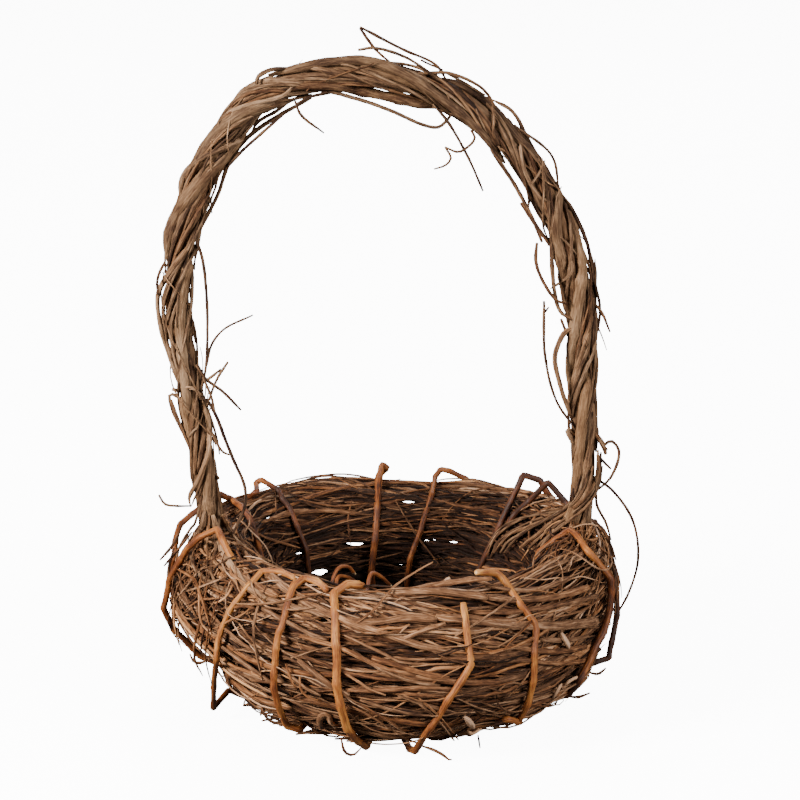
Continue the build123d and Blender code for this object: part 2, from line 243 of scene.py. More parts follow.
class Strands:
    """Collects round strands, and makes one mesh object of them."""

    def __init__(self):
        self.points, self.tones, self.fibres, self.cuts = [], [], [], []
        self.quads, self.fans = [], []
        self.count = 0

    def add(self, path, radius, sides=5, tone=0.5, facing=None, flat=1.0, rough=0.08, cut=0.0):
        """One strand along a path, with a radius and tone at each sample; facing turns its flat side out."""
        path = np.asarray(path, float)
        rings = len(path)
        radius = np.broadcast_to(np.asarray(radius, float), (rings,))
        tone = np.broadcast_to(np.asarray(tone, float), (rings,))
        tangent = unit(np.gradient(path, axis=0))
        side = unit(np.cross(tangent, camera_back if facing is None else facing))
        lift = np.cross(side, tangent)
        run = run_along(path)
        angle = FULL_TURN * (np.arange(sides) + random.uniform()) / sides
        phase = random.uniform(0, ANY_PHASE, sides)
        bark = 1 + rough * np.sin(run[:, None] * random.uniform(250, 420) + phase)
        bark = bark + rough * 0.6 * np.sin(run[:, None] * random.uniform(700, 1100) + phase * 2)
        reach = radius[:, None] * bark
        across = (reach * np.cos(angle))[..., None] * side[:, None]
        rise = (reach * flat * np.sin(angle))[..., None] * lift[:, None]
        ring = path[:, None] + across + rise
        self.points.append(np.vstack([ring.reshape(-1, 3), path[:1], path[-1:]]))
        self.add_looks(radius, run, angle, tone, cut)
        self.add_faces(rings, sides)

    def add_looks(self, radius, run, angle, tone, cut):
        """The strand's own coordinates, its tones, and the marks of its cut ends."""
        sides = len(angle)
        start = random.uniform(0, 50)
        fibre = np.stack([
            (radius[:, None] * np.cos(angle)).ravel() + start,
            (radius[:, None] * np.sin(angle)).ravel() - start,
            np.repeat(run, sides) + start,
        ], -1)
        tips = [[start, -start, start], [start, -start, start + run[-1]]]
        self.fibres.append(np.vstack([fibre, *tips]))
        self.tones.append(np.concatenate([np.repeat(tone, sides), tone[[0, -1]]]))
        cuts = np.zeros(len(run) * sides + 2)
        cuts[-2:] = cut
        if cut > 0.9:
            cuts[:sides] = cuts[-2 - sides:-2] = 0.8
        self.cuts.append(cuts)

    def add_faces(self, rings, sides):
        """Four-sided faces between the rings, and a fan of triangles at each end."""
        total = rings * sides + 2
        order = np.arange(sides)
        following = (order + 1) % sides
        ring_starts = self.count + np.arange(rings - 1)[:, None] * sides
        first, after = (ring_starts + order).ravel(), (ring_starts + following).ravel()
        self.quads.append(np.stack([first, first + sides, after + sides, after], -1))
        last = self.count + (rings - 1) * sides
        tips = [np.full(sides, self.count + total - 2 + end) for end in (0, 1)]
        self.fans.append(np.stack([self.count + order, self.count + following, tips[0]], -1))
        self.fans.append(np.stack([last + following, last + order, tips[1]], -1))
        self.count += total

    def make(self, name, material, slot, *nodes):
        """The mesh object, riding on the frame's body and standing for its nodes."""
        quads, fans = np.vstack(self.quads), np.vstack(self.fans)
        mesh = bpy.data.meshes.new(name)
        points = np.vstack(self.points).astype(np.float32)
        mesh.vertices.add(len(points))
        mesh.vertices.foreach_set("co", points.ravel())
        corners = np.concatenate([quads.ravel(), fans.ravel()]).astype(np.int32)
        mesh.loops.add(len(corners))
        mesh.loops.foreach_set("vertex_index", corners)
        starts = np.concatenate([np.arange(len(quads)) * 4, len(quads) * 4 + np.arange(len(fans)) * 3])
        mesh.polygons.add(len(starts))
        mesh.polygons.foreach_set("loop_start", starts.astype(np.int32))
        mesh.update(calc_edges=True)
        mesh.polygons.foreach_set("use_smooth", np.ones(len(starts), bool))
        for label, kind, key, data in (
            ("tone", "FLOAT", "value", np.concatenate(self.tones)),
            ("cut", "FLOAT", "value", np.concatenate(self.cuts)),
            ("fibre", "FLOAT_VECTOR", "vector", np.vstack(self.fibres).ravel()),
        ):
            mesh.attributes.new(label, kind, "POINT").data.foreach_set(key, data.astype(np.float32))
        piece = bpy.data.objects.new(name, mesh)
        bpy.context.scene.collection.objects.link(piece)
        mesh.materials.append(material)
        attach(piece, "root")
        if nodes:
            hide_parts(*nodes)


# Materials: each strand carries a tone, its own lengthwise coordinates, and a mark on its cut ends


class Shading:
    """Adds nodes to a material's tree; a value is given as a socket or as a number or colour."""

    def __init__(self, tree):
        self.nodes, self.links = tree.nodes, tree.links

    def give(self, socket, value):
        if isinstance(value, bpy.types.NodeSocket):
            self.links.new(value, socket)
        elif value is not None:
            socket.default_value = value

    def mixed(self, share, first, second):
        """A mix of two colours."""
        mix = self.nodes.new("ShaderNodeMix")
        mix.data_type = "RGBA"
        for socket, value in ((mix.inputs[0], share), (mix.inputs[6], first), (mix.inputs[7], second)):
            self.give(socket, value)
        return mix.outputs[2]

    def maths(self, operation, first, second, third=None):
        """A math node's output."""
        node = self.nodes.new("ShaderNodeMath")
        node.operation = operation
        for socket, value in zip(node.inputs, (first, second, third)):
            self.give(socket, value)
        return node.outputs[0]

    def ramp(self, share, places, colours):
        """A colour ramp through colours at places."""
        node = self.nodes.new("ShaderNodeValToRGB")
        elements = node.color_ramp.elements
        while len(elements) < len(places):
            elements.new(0.5)
        for element, place, colour in zip(elements, places, colours):
            element.position = place
            element.color = (*colour, 1)
        self.links.new(share, node.inputs[0])
        return node.outputs[0]

    def noise(self, vector, scale, detail, roughness=0.55):
        """A noise texture's values."""
        node = self.nodes.new("ShaderNodeTexNoise")
        settings = {"Scale": scale, "Detail": detail, "Roughness": roughness, "Vector": vector}
        for label, value in settings.items():
            self.give(node.inputs[label], value)
        return node.outputs["Fac"]

    def varied(self, share, texture, amount):
        """The share, moved both ways by a texture."""
        return self.maths("MULTIPLY_ADD", self.maths("SUBTRACT", texture, 0.5), amount, share)

    def attribute(self, label):
        node = self.nodes.new("ShaderNodeAttribute")
        node.attribute_name = label
        return node.outputs


BLACK, WHITE, SCAR_BROWN = (0, 0, 0), (1, 1, 1), (0.030, 0.013, 0.007, 1)
CUT_TWIG, CUT_CANE = (0.62, 0.40, 0.20, 1), (0.80, 0.60, 0.34, 1)
TONE_PLACES = (0, 0.25, 0.5, 0.75, 1)
HUE_PLACES, SCAR_PLACES = (0, 0.45, 0.66), (0, 0.26, 0.34)
LENGTHWISE = (1.0, 1.0, 0.09)
HUE_SCALE, PATCH_SCALE, SPECK_SCALE, STREAK_SCALE, FINE_SCALE = 3.7, 95, 1300, 1500, 5200
GROOVE_DEPTH = 0.0004


def strand_material(name, colours, other_colours, cut_colour, streaks, patches, gloss, relief, scars,
                    shine=0.12):
    """Bark or cane: two hues that change from strand to strand, streaks, patches, and a grooved surface."""
    material = bpy.data.materials.new(name)
    material.use_nodes = True
    shading = Shading(material.node_tree)
    shader = shading.nodes["Principled BSDF"]
    fibre = shading.attribute("fibre")["Vector"]
    stretched = shading.nodes.new("ShaderNodeVectorMath")
    stretched.operation = "MULTIPLY"
    stretched.inputs[1].default_value = LENGTHWISE
    shading.links.new(fibre, stretched.inputs[0])
    streak = shading.noise(stretched.outputs[0], STREAK_SCALE, 4)
    fine = shading.noise(stretched.outputs[0], FINE_SCALE, 3)
    share = shading.varied(shading.attribute("tone")["Fac"], streak, streaks)
    share = shading.varied(share, fine, streaks * 0.4)
    share = shading.varied(share, shading.noise(fibre, PATCH_SCALE, 3), patches)
    turned = shading.ramp(shading.noise(fibre, HUE_SCALE, 1), HUE_PLACES, (BLACK, BLACK, WHITE))
    hues = [shading.ramp(share, TONE_PLACES, row) for row in (colours, other_colours)]
    colour = shading.mixed(turned, *hues)
    if scars:
        scar = shading.ramp(shading.noise(fibre, SPECK_SCALE, 2, 0.7), SCAR_PLACES, (WHITE, WHITE, BLACK))
        colour = shading.mixed(shading.maths("MULTIPLY", scar, scars), colour, SCAR_BROWN)
    colour = shading.mixed(shading.attribute("cut")["Fac"], colour, cut_colour)
    shading.give(shader.inputs["Base Color"], colour)
    shading.give(shader.inputs["Roughness"], shading.maths("MULTIPLY_ADD", fine, 0.28, gloss))
    shader.inputs["Specular IOR Level"].default_value = shine
    bump = shading.nodes.new("ShaderNodeBump")
    bump.inputs["Strength"].default_value = relief
    bump.inputs["Distance"].default_value = GROOVE_DEPTH
    shading.give(bump.inputs["Height"], shading.maths("MULTIPLY_ADD", fine, 0.4, streak))
    shading.give(shader.inputs["Normal"], bump.outputs[0])
    return material


twig_bark = strand_material(
    "twig_bark",
    ((0.010, 0.004, 0.002), (0.052, 0.022, 0.010), (0.148, 0.070, 0.033), (0.300, 0.166, 0.092),
     (0.510, 0.320, 0.205)),
    ((0.012, 0.004, 0.002), (0.066, 0.023, 0.009), (0.185, 0.070, 0.024), (0.340, 0.153, 0.061),
     (0.540, 0.285, 0.130)),
    CUT_TWIG, streaks=1.45, patches=0.50, gloss=0.58, relief=1.0, scars=0)
vine_bark = strand_material(
    "vine_bark",
    ((0.012, 0.005, 0.003), (0.058, 0.028, 0.014), (0.148, 0.082, 0.043), (0.275, 0.166, 0.096),
     (0.440, 0.288, 0.182)),
    ((0.012, 0.004, 0.002), (0.065, 0.026, 0.011), (0.164, 0.077, 0.034), (0.300, 0.154, 0.071),
     (0.480, 0.282, 0.147)),
    CUT_TWIG, streaks=1.45, patches=0.60, gloss=0.58, relief=1.0, scars=0.45)
smooth_bark = strand_material(
    "smooth_bark",
    ((0.012, 0.005, 0.003), (0.058, 0.028, 0.014), (0.146, 0.083, 0.043), (0.270, 0.168, 0.096),
     (0.440, 0.288, 0.182)),
    ((0.012, 0.004, 0.002), (0.064, 0.027, 0.012), (0.155, 0.081, 0.038), (0.285, 0.160, 0.081),
     (0.460, 0.286, 0.162)),
    CUT_TWIG, streaks=1.05, patches=0.50, gloss=0.56, relief=0.95, scars=0.80)
CANE_COLOURS = (
    (0.026, 0.008, 0.003), (0.115, 0.030, 0.007), (0.250, 0.080, 0.017), (0.410, 0.168, 0.036),
    (0.600, 0.310, 0.095),
)
cane = strand_material(
    "cane", CANE_COLOURS, CANE_COLOURS, CUT_CANE, streaks=1.05, patches=0.90, gloss=0.40, relief=0.80,
    scars=0.90, shine=0.26)


# The wall: locks of twigs that run round the ring, laid in layers and crossing a little

OUTLINE_TURNS = np.arange(90.0, -271.0, -1.0)
half_turns = np.radians(OUTLINE_TURNS[1:] + 0.5)
OUTLINE_RUN = np.concatenate([[0], np.cumsum(np.radians(1) * np.hypot(
    (CORE_HALF_THICKNESS + VINE_LAYER) * np.sin(half_turns)
    + 2 * WALL_LEAN * np.minimum(np.sin(half_turns), 0) * np.cos(half_turns),
    (CORE_HALF_HEIGHT + VINE_LAYER) * np.cos(half_turns)))])
OUTLINE = OUTLINE_RUN[-1]
COURSES = (
    "rim_outer_vines", "outer_shoulder_vine", "outer_upper_vine", "outer_middle_vine", "outer_lower_vine",
    "outer_heel_vine", "base_outer_vine", "base_inner_vine", "inner_heel_vine", "inner_lower_vine",
    "inner_middle_vine", "inner_upper_vine", "inner_shoulder_vine", "rim_inner_vines",
)
courses = {name: Strands() for name in COURSES}
share_of_twigs = 1.0
TWIG_LEAST_HEIGHT, END_DIP = 0.002, 0.004

# Slits of light between the twigs of the far wall, in pixels: middle, half width, half height
slits_px = (
    (354, 544, 12, 1.7), (327, 546, 5, 1.0), (297, 553, 4, 1.2), (279, 555, 5, 0.9), (320, 572, 7, 3.4),
    (346, 570, 3, 1.0), (333, 506, 5, 1.3), (304, 512, 3, 0.7), (264, 518, 3, 1.5), (254, 520, 2, 0.8),
    (408, 502, 6, 0.9), (430, 540, 9, 0.8), (450, 542, 8, 0.6), (402, 539, 4, 0.8), (400, 565, 5, 1.6),
    (266, 560, 4, 1.4),
)
SLIT_MARGIN_PX, SLIT_REACH_PX, SLIT_END_PX = 8, 9, 3
MM_PER_PIXEL = 0.50
RISE_PER_PIXEL = 0.52 * MM / math.cos(camera_elevation)

# Slow changes over the wall: size, azimuth, section angle, and how far each spreads in azimuth and angle.
# Its lower side is slacker at the left and right, and bulges at the front.
dips = (
    (0.0140, -88, -42, 32, 28), (0.0046, 80, -22, 26, 32), (0.0034, 50, -66, 18, 22),
    (-0.0036, -4, -64, 28, 20), (-0.0026, 122, 78, 16, 34),
)
# Painted light and shade in the twigs' tones, with the same columns: painted shade on the far wall's inside
# and at the front's middle, painted light at the right of the rim.
painted_light_and_shade_patches = ((-0.22, 192, -238, 34, 22), (-0.15, 4, 8, 24, 40), (0.18, 62, 52, 26, 40))
# Painted shade by section angle: darker down the wall's inner side and under it, little changed at the rim
# and the outer side.
painted_shade_turns = (-270, -245, -205, -120, -90, -50, 0, 90)
painted_shade_at_turns = (-0.02, -0.10, -0.36, -0.38, -0.20, -0.07, 0.0, 0.02)


def turned_from(azimuth, other):
    """The angle from one azimuth to another, between half a turn back and half a turn on."""
    return (azimuth - other + 180) % 360 - 180


def slow_change(changes, azimuth, turn):
    """The sum of smooth bumps at an azimuth and a section angle."""
    return sum(
        size * np.exp(-(turned_from(azimuth, middle) / wide)**2 - ((turn - angle) / high)**2)
        for size, middle, angle, wide, high in changes)


def turn_of(distance):
    """The section angle at a distance round the wall's outline, from the rim down the outer side."""
    return np.interp(distance % OUTLINE, OUTLINE_RUN, OUTLINE_TURNS)


def course_at(distance):
    """The course of the wall that a distance round the outline belongs to."""
    return courses[COURSES[int((distance % OUTLINE) / OUTLINE * len(COURSES)) % len(COURSES)]]


def bulk(azimuth, turn):
    """Slow swells of the wall's surface."""
    return (0.0010 * np.sin(np.radians(3 * azimuth + 2 * turn + 40))
            + 0.0008 * np.sin(np.radians(7 * azimuth - 3 * turn)))


def parted(path, radius):
    """The path with its far-side samples moved up or down out of the slits of light."""
    path = path.copy()
    far = path[:, 1] > 0
    if not far.any():
        return path
    pixels = pixel_of(path)
    for x, y, half_width, half_height in slits_px:
        across = np.abs(pixels[:, 0] - x)
        inside = far & (across < half_width + SLIT_MARGIN_PX)
        if not inside.any():
            continue
        room = 1.1 * half_height * (1 - (across / (half_width + SLIT_END_PX))**2) + radius / MM / MM_PER_PIXEL
        down = pixels[:, 1] - y
        aside = 1 if down[inside].mean() > 0 else -1
        short = np.clip(room - aside * down, 0, None) * inside
        path[:, 2] -= aside * np.where(np.abs(down) < SLIT_REACH_PX, short, 0) * RISE_PER_PIXEL
    return path


def lay_twig(azimuth, distance, length, slope, depth, thickness, tone, wobble=1.0, bend=0.0, sides=5,
             step=0.0055, ends=(1.0, 1.0), flat=1.0, cut=0.6, kink=0.0):
    """A twig round the ring from its middle's place on the wall, sloping across it as it runs."""
    count = max(int(length / step), 4) + 1
    run = np.linspace(-length / 2, length / 2, count)
    plan = RING_RADIUS + CORE_HALF_THICKNESS * math.cos(math.radians(float(turn_of(distance))))
    azimuths = azimuth + np.degrees(run / plan)
    places = distance + slope * run + bend * ((2 * run / length)**2 - 0.4)
    places = places + wander(run, 0.07, 0.0011 * wobble) + wander(run, 0.021, 0.00028 * wobble)
    if kink:
        places = places + kinks(run, 0.017, kink)
    turns = turn_of(places)
    deep = depth + wander(run, 0.05, 0.0006 * wobble)
    deep = deep + slow_change(dips, azimuths, turns) - bulk(azimuths, turns)
    share = run / length + 0.5
    starting, ending = near_ends(share, 0.16)
    deep = deep + END_DIP * (ends[0] * starting + ends[1] * ending)
    path, normals = on_hull(azimuths, turns, -deep)
    path = parted(path, thickness / 2)
    path[:, 2] = np.maximum(path[:, 2], TWIG_LEAST_HEIGHT)
    radius = thickness / 2 * (1.08 - 0.3 * share) * taper(count)
    course_at(distance).add(path, radius, sides, tone, normals, flat, cut=cut)


def flow(azimuth, distance):
    """How much the twigs slope down as they run to the right: steep at the front left, slight elsewhere."""
    a = math.radians(azimuth)
    turn = float(turn_of(distance))
    swing = 0.08 * math.sin(2 * a + 0.8) + 0.06 * math.sin(5 * a + 2.1) + 0.05 * math.sin(9 * a + turn / 40)
    if not -75 < turn < 70:
        return 0.5 * swing
    return (swing + 0.24 * math.exp(-(turned_from(azimuth, -42) / 30)**2)
            - 0.10 * math.exp(-(turned_from(azimuth, 45) / 25)**2))


def painted_light_and_shade(azimuth, distance):
    """Painted light and shade in the twigs' tone at a place: painted shade on the wall's inner side and under
    it, and slow patches of painted light and shade over the wall.
    """
    turn = float(turn_of(distance))
    return float(np.interp(turn, painted_shade_turns, painted_shade_at_turns)) + slow_change(painted_light_and_shade_patches, azimuth, turn)


def any_place():
    """A random azimuth, and a random distance round the wall's outline."""
    return random.uniform(0, 360), random.uniform(0, OUTLINE)


def lay_lock(depth, count, thickness, spread, slope_spread, tone, lengths, wobble=1.0, step=0.0055, kink=0.0):
    """A lock of twigs that run side by side; fewer of them lie under the wall."""
    azimuth, distance = any_place()
    if abs(float(turn_of(distance)) + 105) < 35 and random.uniform() < 0.6:
        return
    slope = flow(azimuth, distance) + random.normal(0, slope_spread)
    bend = random.normal(0, 0.003)
    # The lock's tone takes the painted light and shade of its place.
    lock_tone = tone + random.normal(0, 0.11) + painted_light_and_shade(azimuth, distance)
    for _ in range(count):
        size = thickness[0] + (thickness[1] - thickness[0]) * random.uniform()**1.8
        lay_twig(
            azimuth + random.normal(0, 9), distance + random.normal(0, spread), random.uniform(*lengths),
            slope + random.normal(0, 0.03), depth + random.normal(0, 0.0006), size,
            lock_tone + random.normal(-0.02, 0.17) + 0.30 * (random.uniform() < 0.08), wobble,
            bend + random.normal(0, 0.001), step=step, kink=kink)


CORE_TWIGS, CORE_SHARE = 100, 0.62


def lay_core():
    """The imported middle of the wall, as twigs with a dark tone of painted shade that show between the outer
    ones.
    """
    core = Strands()
    for _ in range(CORE_TWIGS):
        share, turn = CORE_SHARE * math.sqrt(random.uniform(0.02, 1)), random.uniform(0, 360)
        length = random.uniform(0.18, 0.42)
        run = np.linspace(-length / 2, length / 2, int(length / 0.009))
        azimuths = random.uniform(0, 360) + np.degrees(run / RING_RADIUS)
        turns = np.radians(turn + wander(run, 0.12, 9.0))
        radius, across, rise, middle, lean = hull_section(azimuths)
        share = share * (1 - slow_change(dips, azimuths, np.degrees(turns)) / CORE_HALF_THICKNESS)
        plan = radius + share * across * np.cos(turns) - lean * np.minimum(share * np.sin(turns), 0)**2
        path = around(azimuths, plan, middle + share * rise * np.sin(turns))
        size = random.uniform(0.003, 0.0055)
        core.add(parted(path, size / 2), size / 2 * taper(len(path)), tone=random.normal(0.10, 0.04))
    core.make("core_twigs", twig_bark, "twig_bundle", "wall_core")


def lay_sticks(count):
    """Broad flattened sticks of peeled vine at the surface."""
    for _ in range(count):
        azimuth, distance = any_place()
        # The sticks' tones take the painted light and shade of their place.
        lay_twig(
            azimuth, distance, random.uniform(0.06, 0.15), flow(azimuth, distance) + random.normal(0, 0.07),
            random.uniform(0.0002, 0.0022), random.uniform(0.0026, 0.0048),
            random.normal(0.50, 0.09) + painted_light_and_shade(azimuth, distance), wobble=0.6,
            bend=random.normal(0, 0.003), sides=8, step=0.005, ends=(0.7, 0.7), flat=0.62)


def lay_strays(count):
    """Thin crooked side twigs that cross the others."""
    for _ in range(count):
        distance = random.uniform(0, OUTLINE)
        azimuth = random.uniform(0, 360)
        inside = float(turn_of(distance)) < -150
        # Strays on the wall's inner side are 0.12 darker: painted shade, on top of the painted light and
        # shade of their place.
        lay_twig(
            azimuth, distance, random.uniform(0.018, 0.07), random.normal(0, 0.55 - 0.35 * inside),
            random.uniform(-0.0016, 0.0004) + 0.001 * inside, random.uniform(0.0006, 0.0013),
            random.normal(0.46, 0.16) + painted_light_and_shade(azimuth, distance) - 0.12 * inside, wobble=1.6, sides=4,
            step=0.0035, ends=random.uniform(-0.35, 1, 2), kink=0.0011)


def lay_locks(count, depths, twigs, thickness, spread, slope_spread, tone, lengths, **manner):
    """Many locks at random depths."""
    for _ in range(int(count * share_of_twigs)):
        lay_lock(random.uniform(*depths), twigs, thickness, spread, slope_spread, tone, lengths, **manner)


lay_core()
# The deeper the layer, the lower its tone: painted shade between the twigs.
lay_locks(
    70, depths=(0.0065, 0.010), twigs=6, thickness=(0.0020, 0.0038), spread=0.0050, slope_spread=0.04,
    tone=0.05, lengths=(0.12, 0.26), step=0.008)
lay_locks(
    110, depths=(0.0030, 0.0065), twigs=7, thickness=(0.0012, 0.0026), spread=0.0042, slope_spread=0.07,
    tone=0.16, lengths=(0.09, 0.22))
lay_locks(
    215, depths=(0.0004, 0.0032), twigs=7, thickness=(0.0007, 0.0021), spread=0.0034, slope_spread=0.12,
    tone=0.43, lengths=(0.05, 0.17), wobble=1.1, kink=0.0005)
lay_sticks(int(80 * share_of_twigs))
lay_locks(
    80, depths=(-0.0008, 0.0006), twigs=3, thickness=(0.0006, 0.0012), spread=0.0030, slope_spread=0.22,
    tone=0.46, lengths=(0.04, 0.12), wobble=2.2)
lay_strays(int(260 * share_of_twigs))


# Lashings: bent rods that clip round the wall, traced from the photograph where they show

ROD_ON_GROUND = 1.9
BEND_SAMPLES, BEND_LENGTH = 6, 0.0011
ROD_SIDE = np.array([0.2, 0.3, 1.0])
ROD_SHADE, KINK_SWELL, KINK_REACH, KNOT_REACH = 0.08, 0.12, 0.0016, 0.0012


def hull(azimuth, turn, lift):
    """A point on the wall at an azimuth and a section angle, lifted off it by millimetres."""
    return on_hull(azimuth, turn, lift * MM)[0]


def seen(x, y, lift):
    """The point of the wall that shows at a pixel, lifted off it by millimetres."""
    return on_wall([(x, y)], lift * MM)[0]


def inner(x, y, lift):
    """The point of the far wall at a pixel, lifted off it by millimetres."""
    return on_wall([(x, y)], lift * MM, 0.0)[0]


def slice_at(x, y, azimuth):
    """The point that shows at a pixel in the upright plane through the middle at an azimuth."""
    a = math.radians(azimuth)
    return on_plane([(x, y)], np.array([math.cos(a), math.sin(a), 0]))[0]


def under(azimuth, plan):
    """A point of a rod that lies on the ground at an azimuth, with its plan radius in millimetres."""
    return around(azimuth, plan, ROD_ON_GROUND) * MM


def bent_line(points, kink, step=0.0013):
    """Straight runs between points, with a short curve at each, sampled about every step."""
    path = [points[0]]
    share = np.linspace(0, 1, BEND_SAMPLES)[:, None]
    for before, corner, after in zip(points, points[1:], points[2:]):
        start, end = before - corner, after - corner
        start = corner + start * min(kink / np.linalg.norm(start), 0.45)
        end = corner + end * min(kink / np.linalg.norm(end), 0.45)
        path.extend(start * (1 - share)**2 + corner * 2 * share * (1 - share) + end * share**2)
    path = np.array(path + [points[-1]])
    run = run_along(path)
    return between(np.linspace(0, run[-1], int(run[-1] / step) + 1), run, path)


# Each rod's node, its thickness in millimetres, its tones and its points, from under the floor to its end.
# The tones hold painted shade: they are low where a rod runs round the back and down inside the bowl.
lashing_routes = (
    ("lashing_left_foot", 3.2, (0.40, 0.42, 0.34, 0.62, 0.50), [
        under(-98, 62), under(-98, 72), hull(-98, -72, -1), slice_at(200, 656, -97),
        slice_at(192, 647, -96), slice_at(174.5, 630, -94), slice_at(163, 608, -91),
        slice_at(170, 580, -89), slice_at(180, 561, -86), slice_at(187, 548, -84), slice_at(200, 537, -81),
        slice_at(217, 529, -77), slice_at(223, 541, -72), slice_at(233, 560, -67), hull(-69, 140, 1.8),
        hull(-70, 182, 2)]),
    ("lashing_front_left_outer", 2.8, (0.30, 0.32, 0.66, 0.74, 0.60), [
        under(-76, 58), under(-77, 68), slice_at(229, 690, -80), slice_at(213, 708, -71),
        slice_at(214, 687, -65), seen(216, 659, 4), seen(217, 644, 2.6), seen(221, 630, 2.2),
        seen(230, 611, 2), seen(236, 602, 2), seen(248, 586, 2), seen(262, 571, 2.4), seen(281, 571.5, 2.4),
        seen(296, 579, 1), hull(-42, 112, -6), hull(-43, 150, 1.5), hull(-43, 182, 2)]),
    ("lashing_front_left_inner", 3.1, (0.50, 0.54, 0.58, 0.56, 0.42), [
        under(-38, 58), under(-38, 66), hull(-37, -78, -1.5), seen(300, 730, 3), seen(287, 726, 3.5),
        seen(278, 705, 3), seen(273, 688, 2.6), seen(273, 673, 2.4), seen(276, 648, 2.2),
        seen(280, 630, 2.1), seen(285, 610, 2.1), seen(290, 593, 2.2), seen(294, 585, 2.4),
        seen(305, 578, 2.6), seen(316, 581, 2.4), seen(328, 590, 1), hull(-29, 112, -7),
        hull(-31, 150, 1.5), hull(-31, 182, 2)]),
    ("lashing_front_left_centre", 3.8, (0.52, 0.60, 0.60, 0.62, 0.62), [
        under(-17, 60), under(-17, 78), seen(358, 741, 3), seen(347, 729, 2.8), seen(341, 706, 2.6),
        seen(337, 684, 2.5), seen(336, 645, 2.4), seen(335, 613, 2.4), seen(334, 593, 2.8),
        seen(348, 584, 3.2), seen(358, 585, 2.4), hull(-19, 116, 2), hull(-20, 140, 1.8), hull(-20, 182, 2)]),
    ("lashing_front_right_centre", 3.3, (0.50, 0.42, 0.50, 0.54, 0.74), [
        under(-4, 62), under(-2, 80), seen(415, 751, 2.6), seen(431, 727, 2.6), seen(448, 700, 2.4),
        seen(461, 682, 2.4), seen(471, 665, 2.4), seen(466, 625, 2.4), seen(463, 603, 2.6)]),
    ("lashing_front_right", 3.2, (0.44, 0.50, 0.52, 0.52, 0.80), [
        under(22, 60), under(23, 70), hull(23, -66, -2), seen(507, 719, 3), seen(519, 722, 3.4),
        seen(528, 704, 3), seen(533, 681, 2.6), seen(534, 653, 2.2), seen(536, 630, 2.1),
        seen(534, 622, 2.1), seen(521, 605, 2.1), seen(504, 580, 2.3), slice_at(497, 573.5, 26),
        slice_at(490, 572, 23.5), slice_at(476, 572.5, 18)]),
    ("lashing_right_foot", 3.4, (0.20, 0.26, 0.32, 0.52, 0.44), [
        under(46, 62), under(46, 72), hull(46, -60, -3), slice_at(569, 694, 47), seen(579, 681, 3),
        seen(590, 660, 2.4), seen(603, 633, 2.2), seen(609, 610, 2.2), seen(612, 592, 2.3),
        seen(611, 579, 2.2), seen(589, 552, 2.2), seen(576, 535, 2.6), seen(569, 530.5, 2.8),
        seen(556, 540, 2.4), slice_at(540, 552, 77), hull(78, 150, 1.8), hull(78, 182, 2)]),
    ("lashing_rear_right_outer", 3.0, (0.05, 0.08, 0.08, 0.12, 0.10), [
        under(86, 62), under(86, 74), slice_at(596, 662, 84), slice_at(609, 658, 85),
        slice_at(612, 642, 86), slice_at(617, 615, 88), slice_at(616, 577, 89), slice_at(609, 550, 91),
        hull(92, 55, 2.6), slice_at(566, 503, 106), slice_at(548, 482, 109), inner(529, 501, 1.8),
        inner(514, 515, 1.8), inner(506, 528, 0.2)]),
    ("lashing_rear_right_inner", 3.2, (0.10, 0.10, 0.10, 0.14, 0.10), [
        under(117, 64), under(117, 82), hull(116, -42, 3), hull(116, 2, 3), hull(117, 36, 3),
        inner(547, 492, 2.2), slice_at(540, 480, 119), slice_at(523, 475, 122), inner(500, 525, 1.8),
        inner(478, 572, 1.5)]),
    ("lashing_rear_centre_right", 2.7, (0.40, 0.42, 0.48, 0.38, 0.22), [
        under(150, 64), under(150, 84), hull(150, -40, 3), hull(150, 4, 3), hull(150, 40, 3),
        hull(151, 64, 2.4), seen(450, 471, 3), seen(440, 469, 3.6), seen(436, 476, 2.2), inner(431, 495, 2),
        inner(421, 529, 2), inner(410, 559, 1.8), hull(168, 205, 1)]),
    ("lashing_rear_centre_left", 3.4, (0.40, 0.42, 0.54, 0.36, 0.18), [
        under(179, 64), under(179, 82), hull(179, -44, 3), hull(179.5, 0, 3), hull(179, 40, 3),
        hull(178, 66, 3), seen(387, 468, 3.2), seen(382, 465, 4), seen(379, 480, 2.4),
        inner(377.5, 507, 2.2), inner(375, 540, 2.2), inner(371, 572, 2), hull(183, 206, 1)]),
    ("lashing_rear_left_inner", 2.8, (0.38, 0.36, 0.40, 0.20, 0.10), [
        under(222, 64), under(222, 84), hull(222, -40, 3), hull(222, 4, 3), hull(223, 36, 3.5),
        inner(256, 492, 4), slice_at(256, 483, 222), slice_at(261, 479.5, 221), inner(278, 490, 2.4),
        inner(282, 498.5, 2), inner(290, 508, 1.8), inner(297, 526.5, 1.8), inner(306, 549.5, 1.8),
        hull(213, 202, 1)]),
    ("lashing_rear_left_outer", 3.0, (0.30, 0.30, 0.34, 0.36, 0.28), [
        under(250, 64), under(250, 80), hull(252, -44, 3), hull(254, -4, 3), slice_at(173, 560, 256),
        slice_at(176, 542, 254), slice_at(181, 524, 249), slice_at(192, 514, 246), slice_at(206, 503, 242),
        inner(220, 494, 2), inner(231, 499, 1.6), inner(242, 507, 1.4), inner(250, 518, 1.4),
        inner(257, 540, 1.4), inner(262, 561, 1.4)]),
)


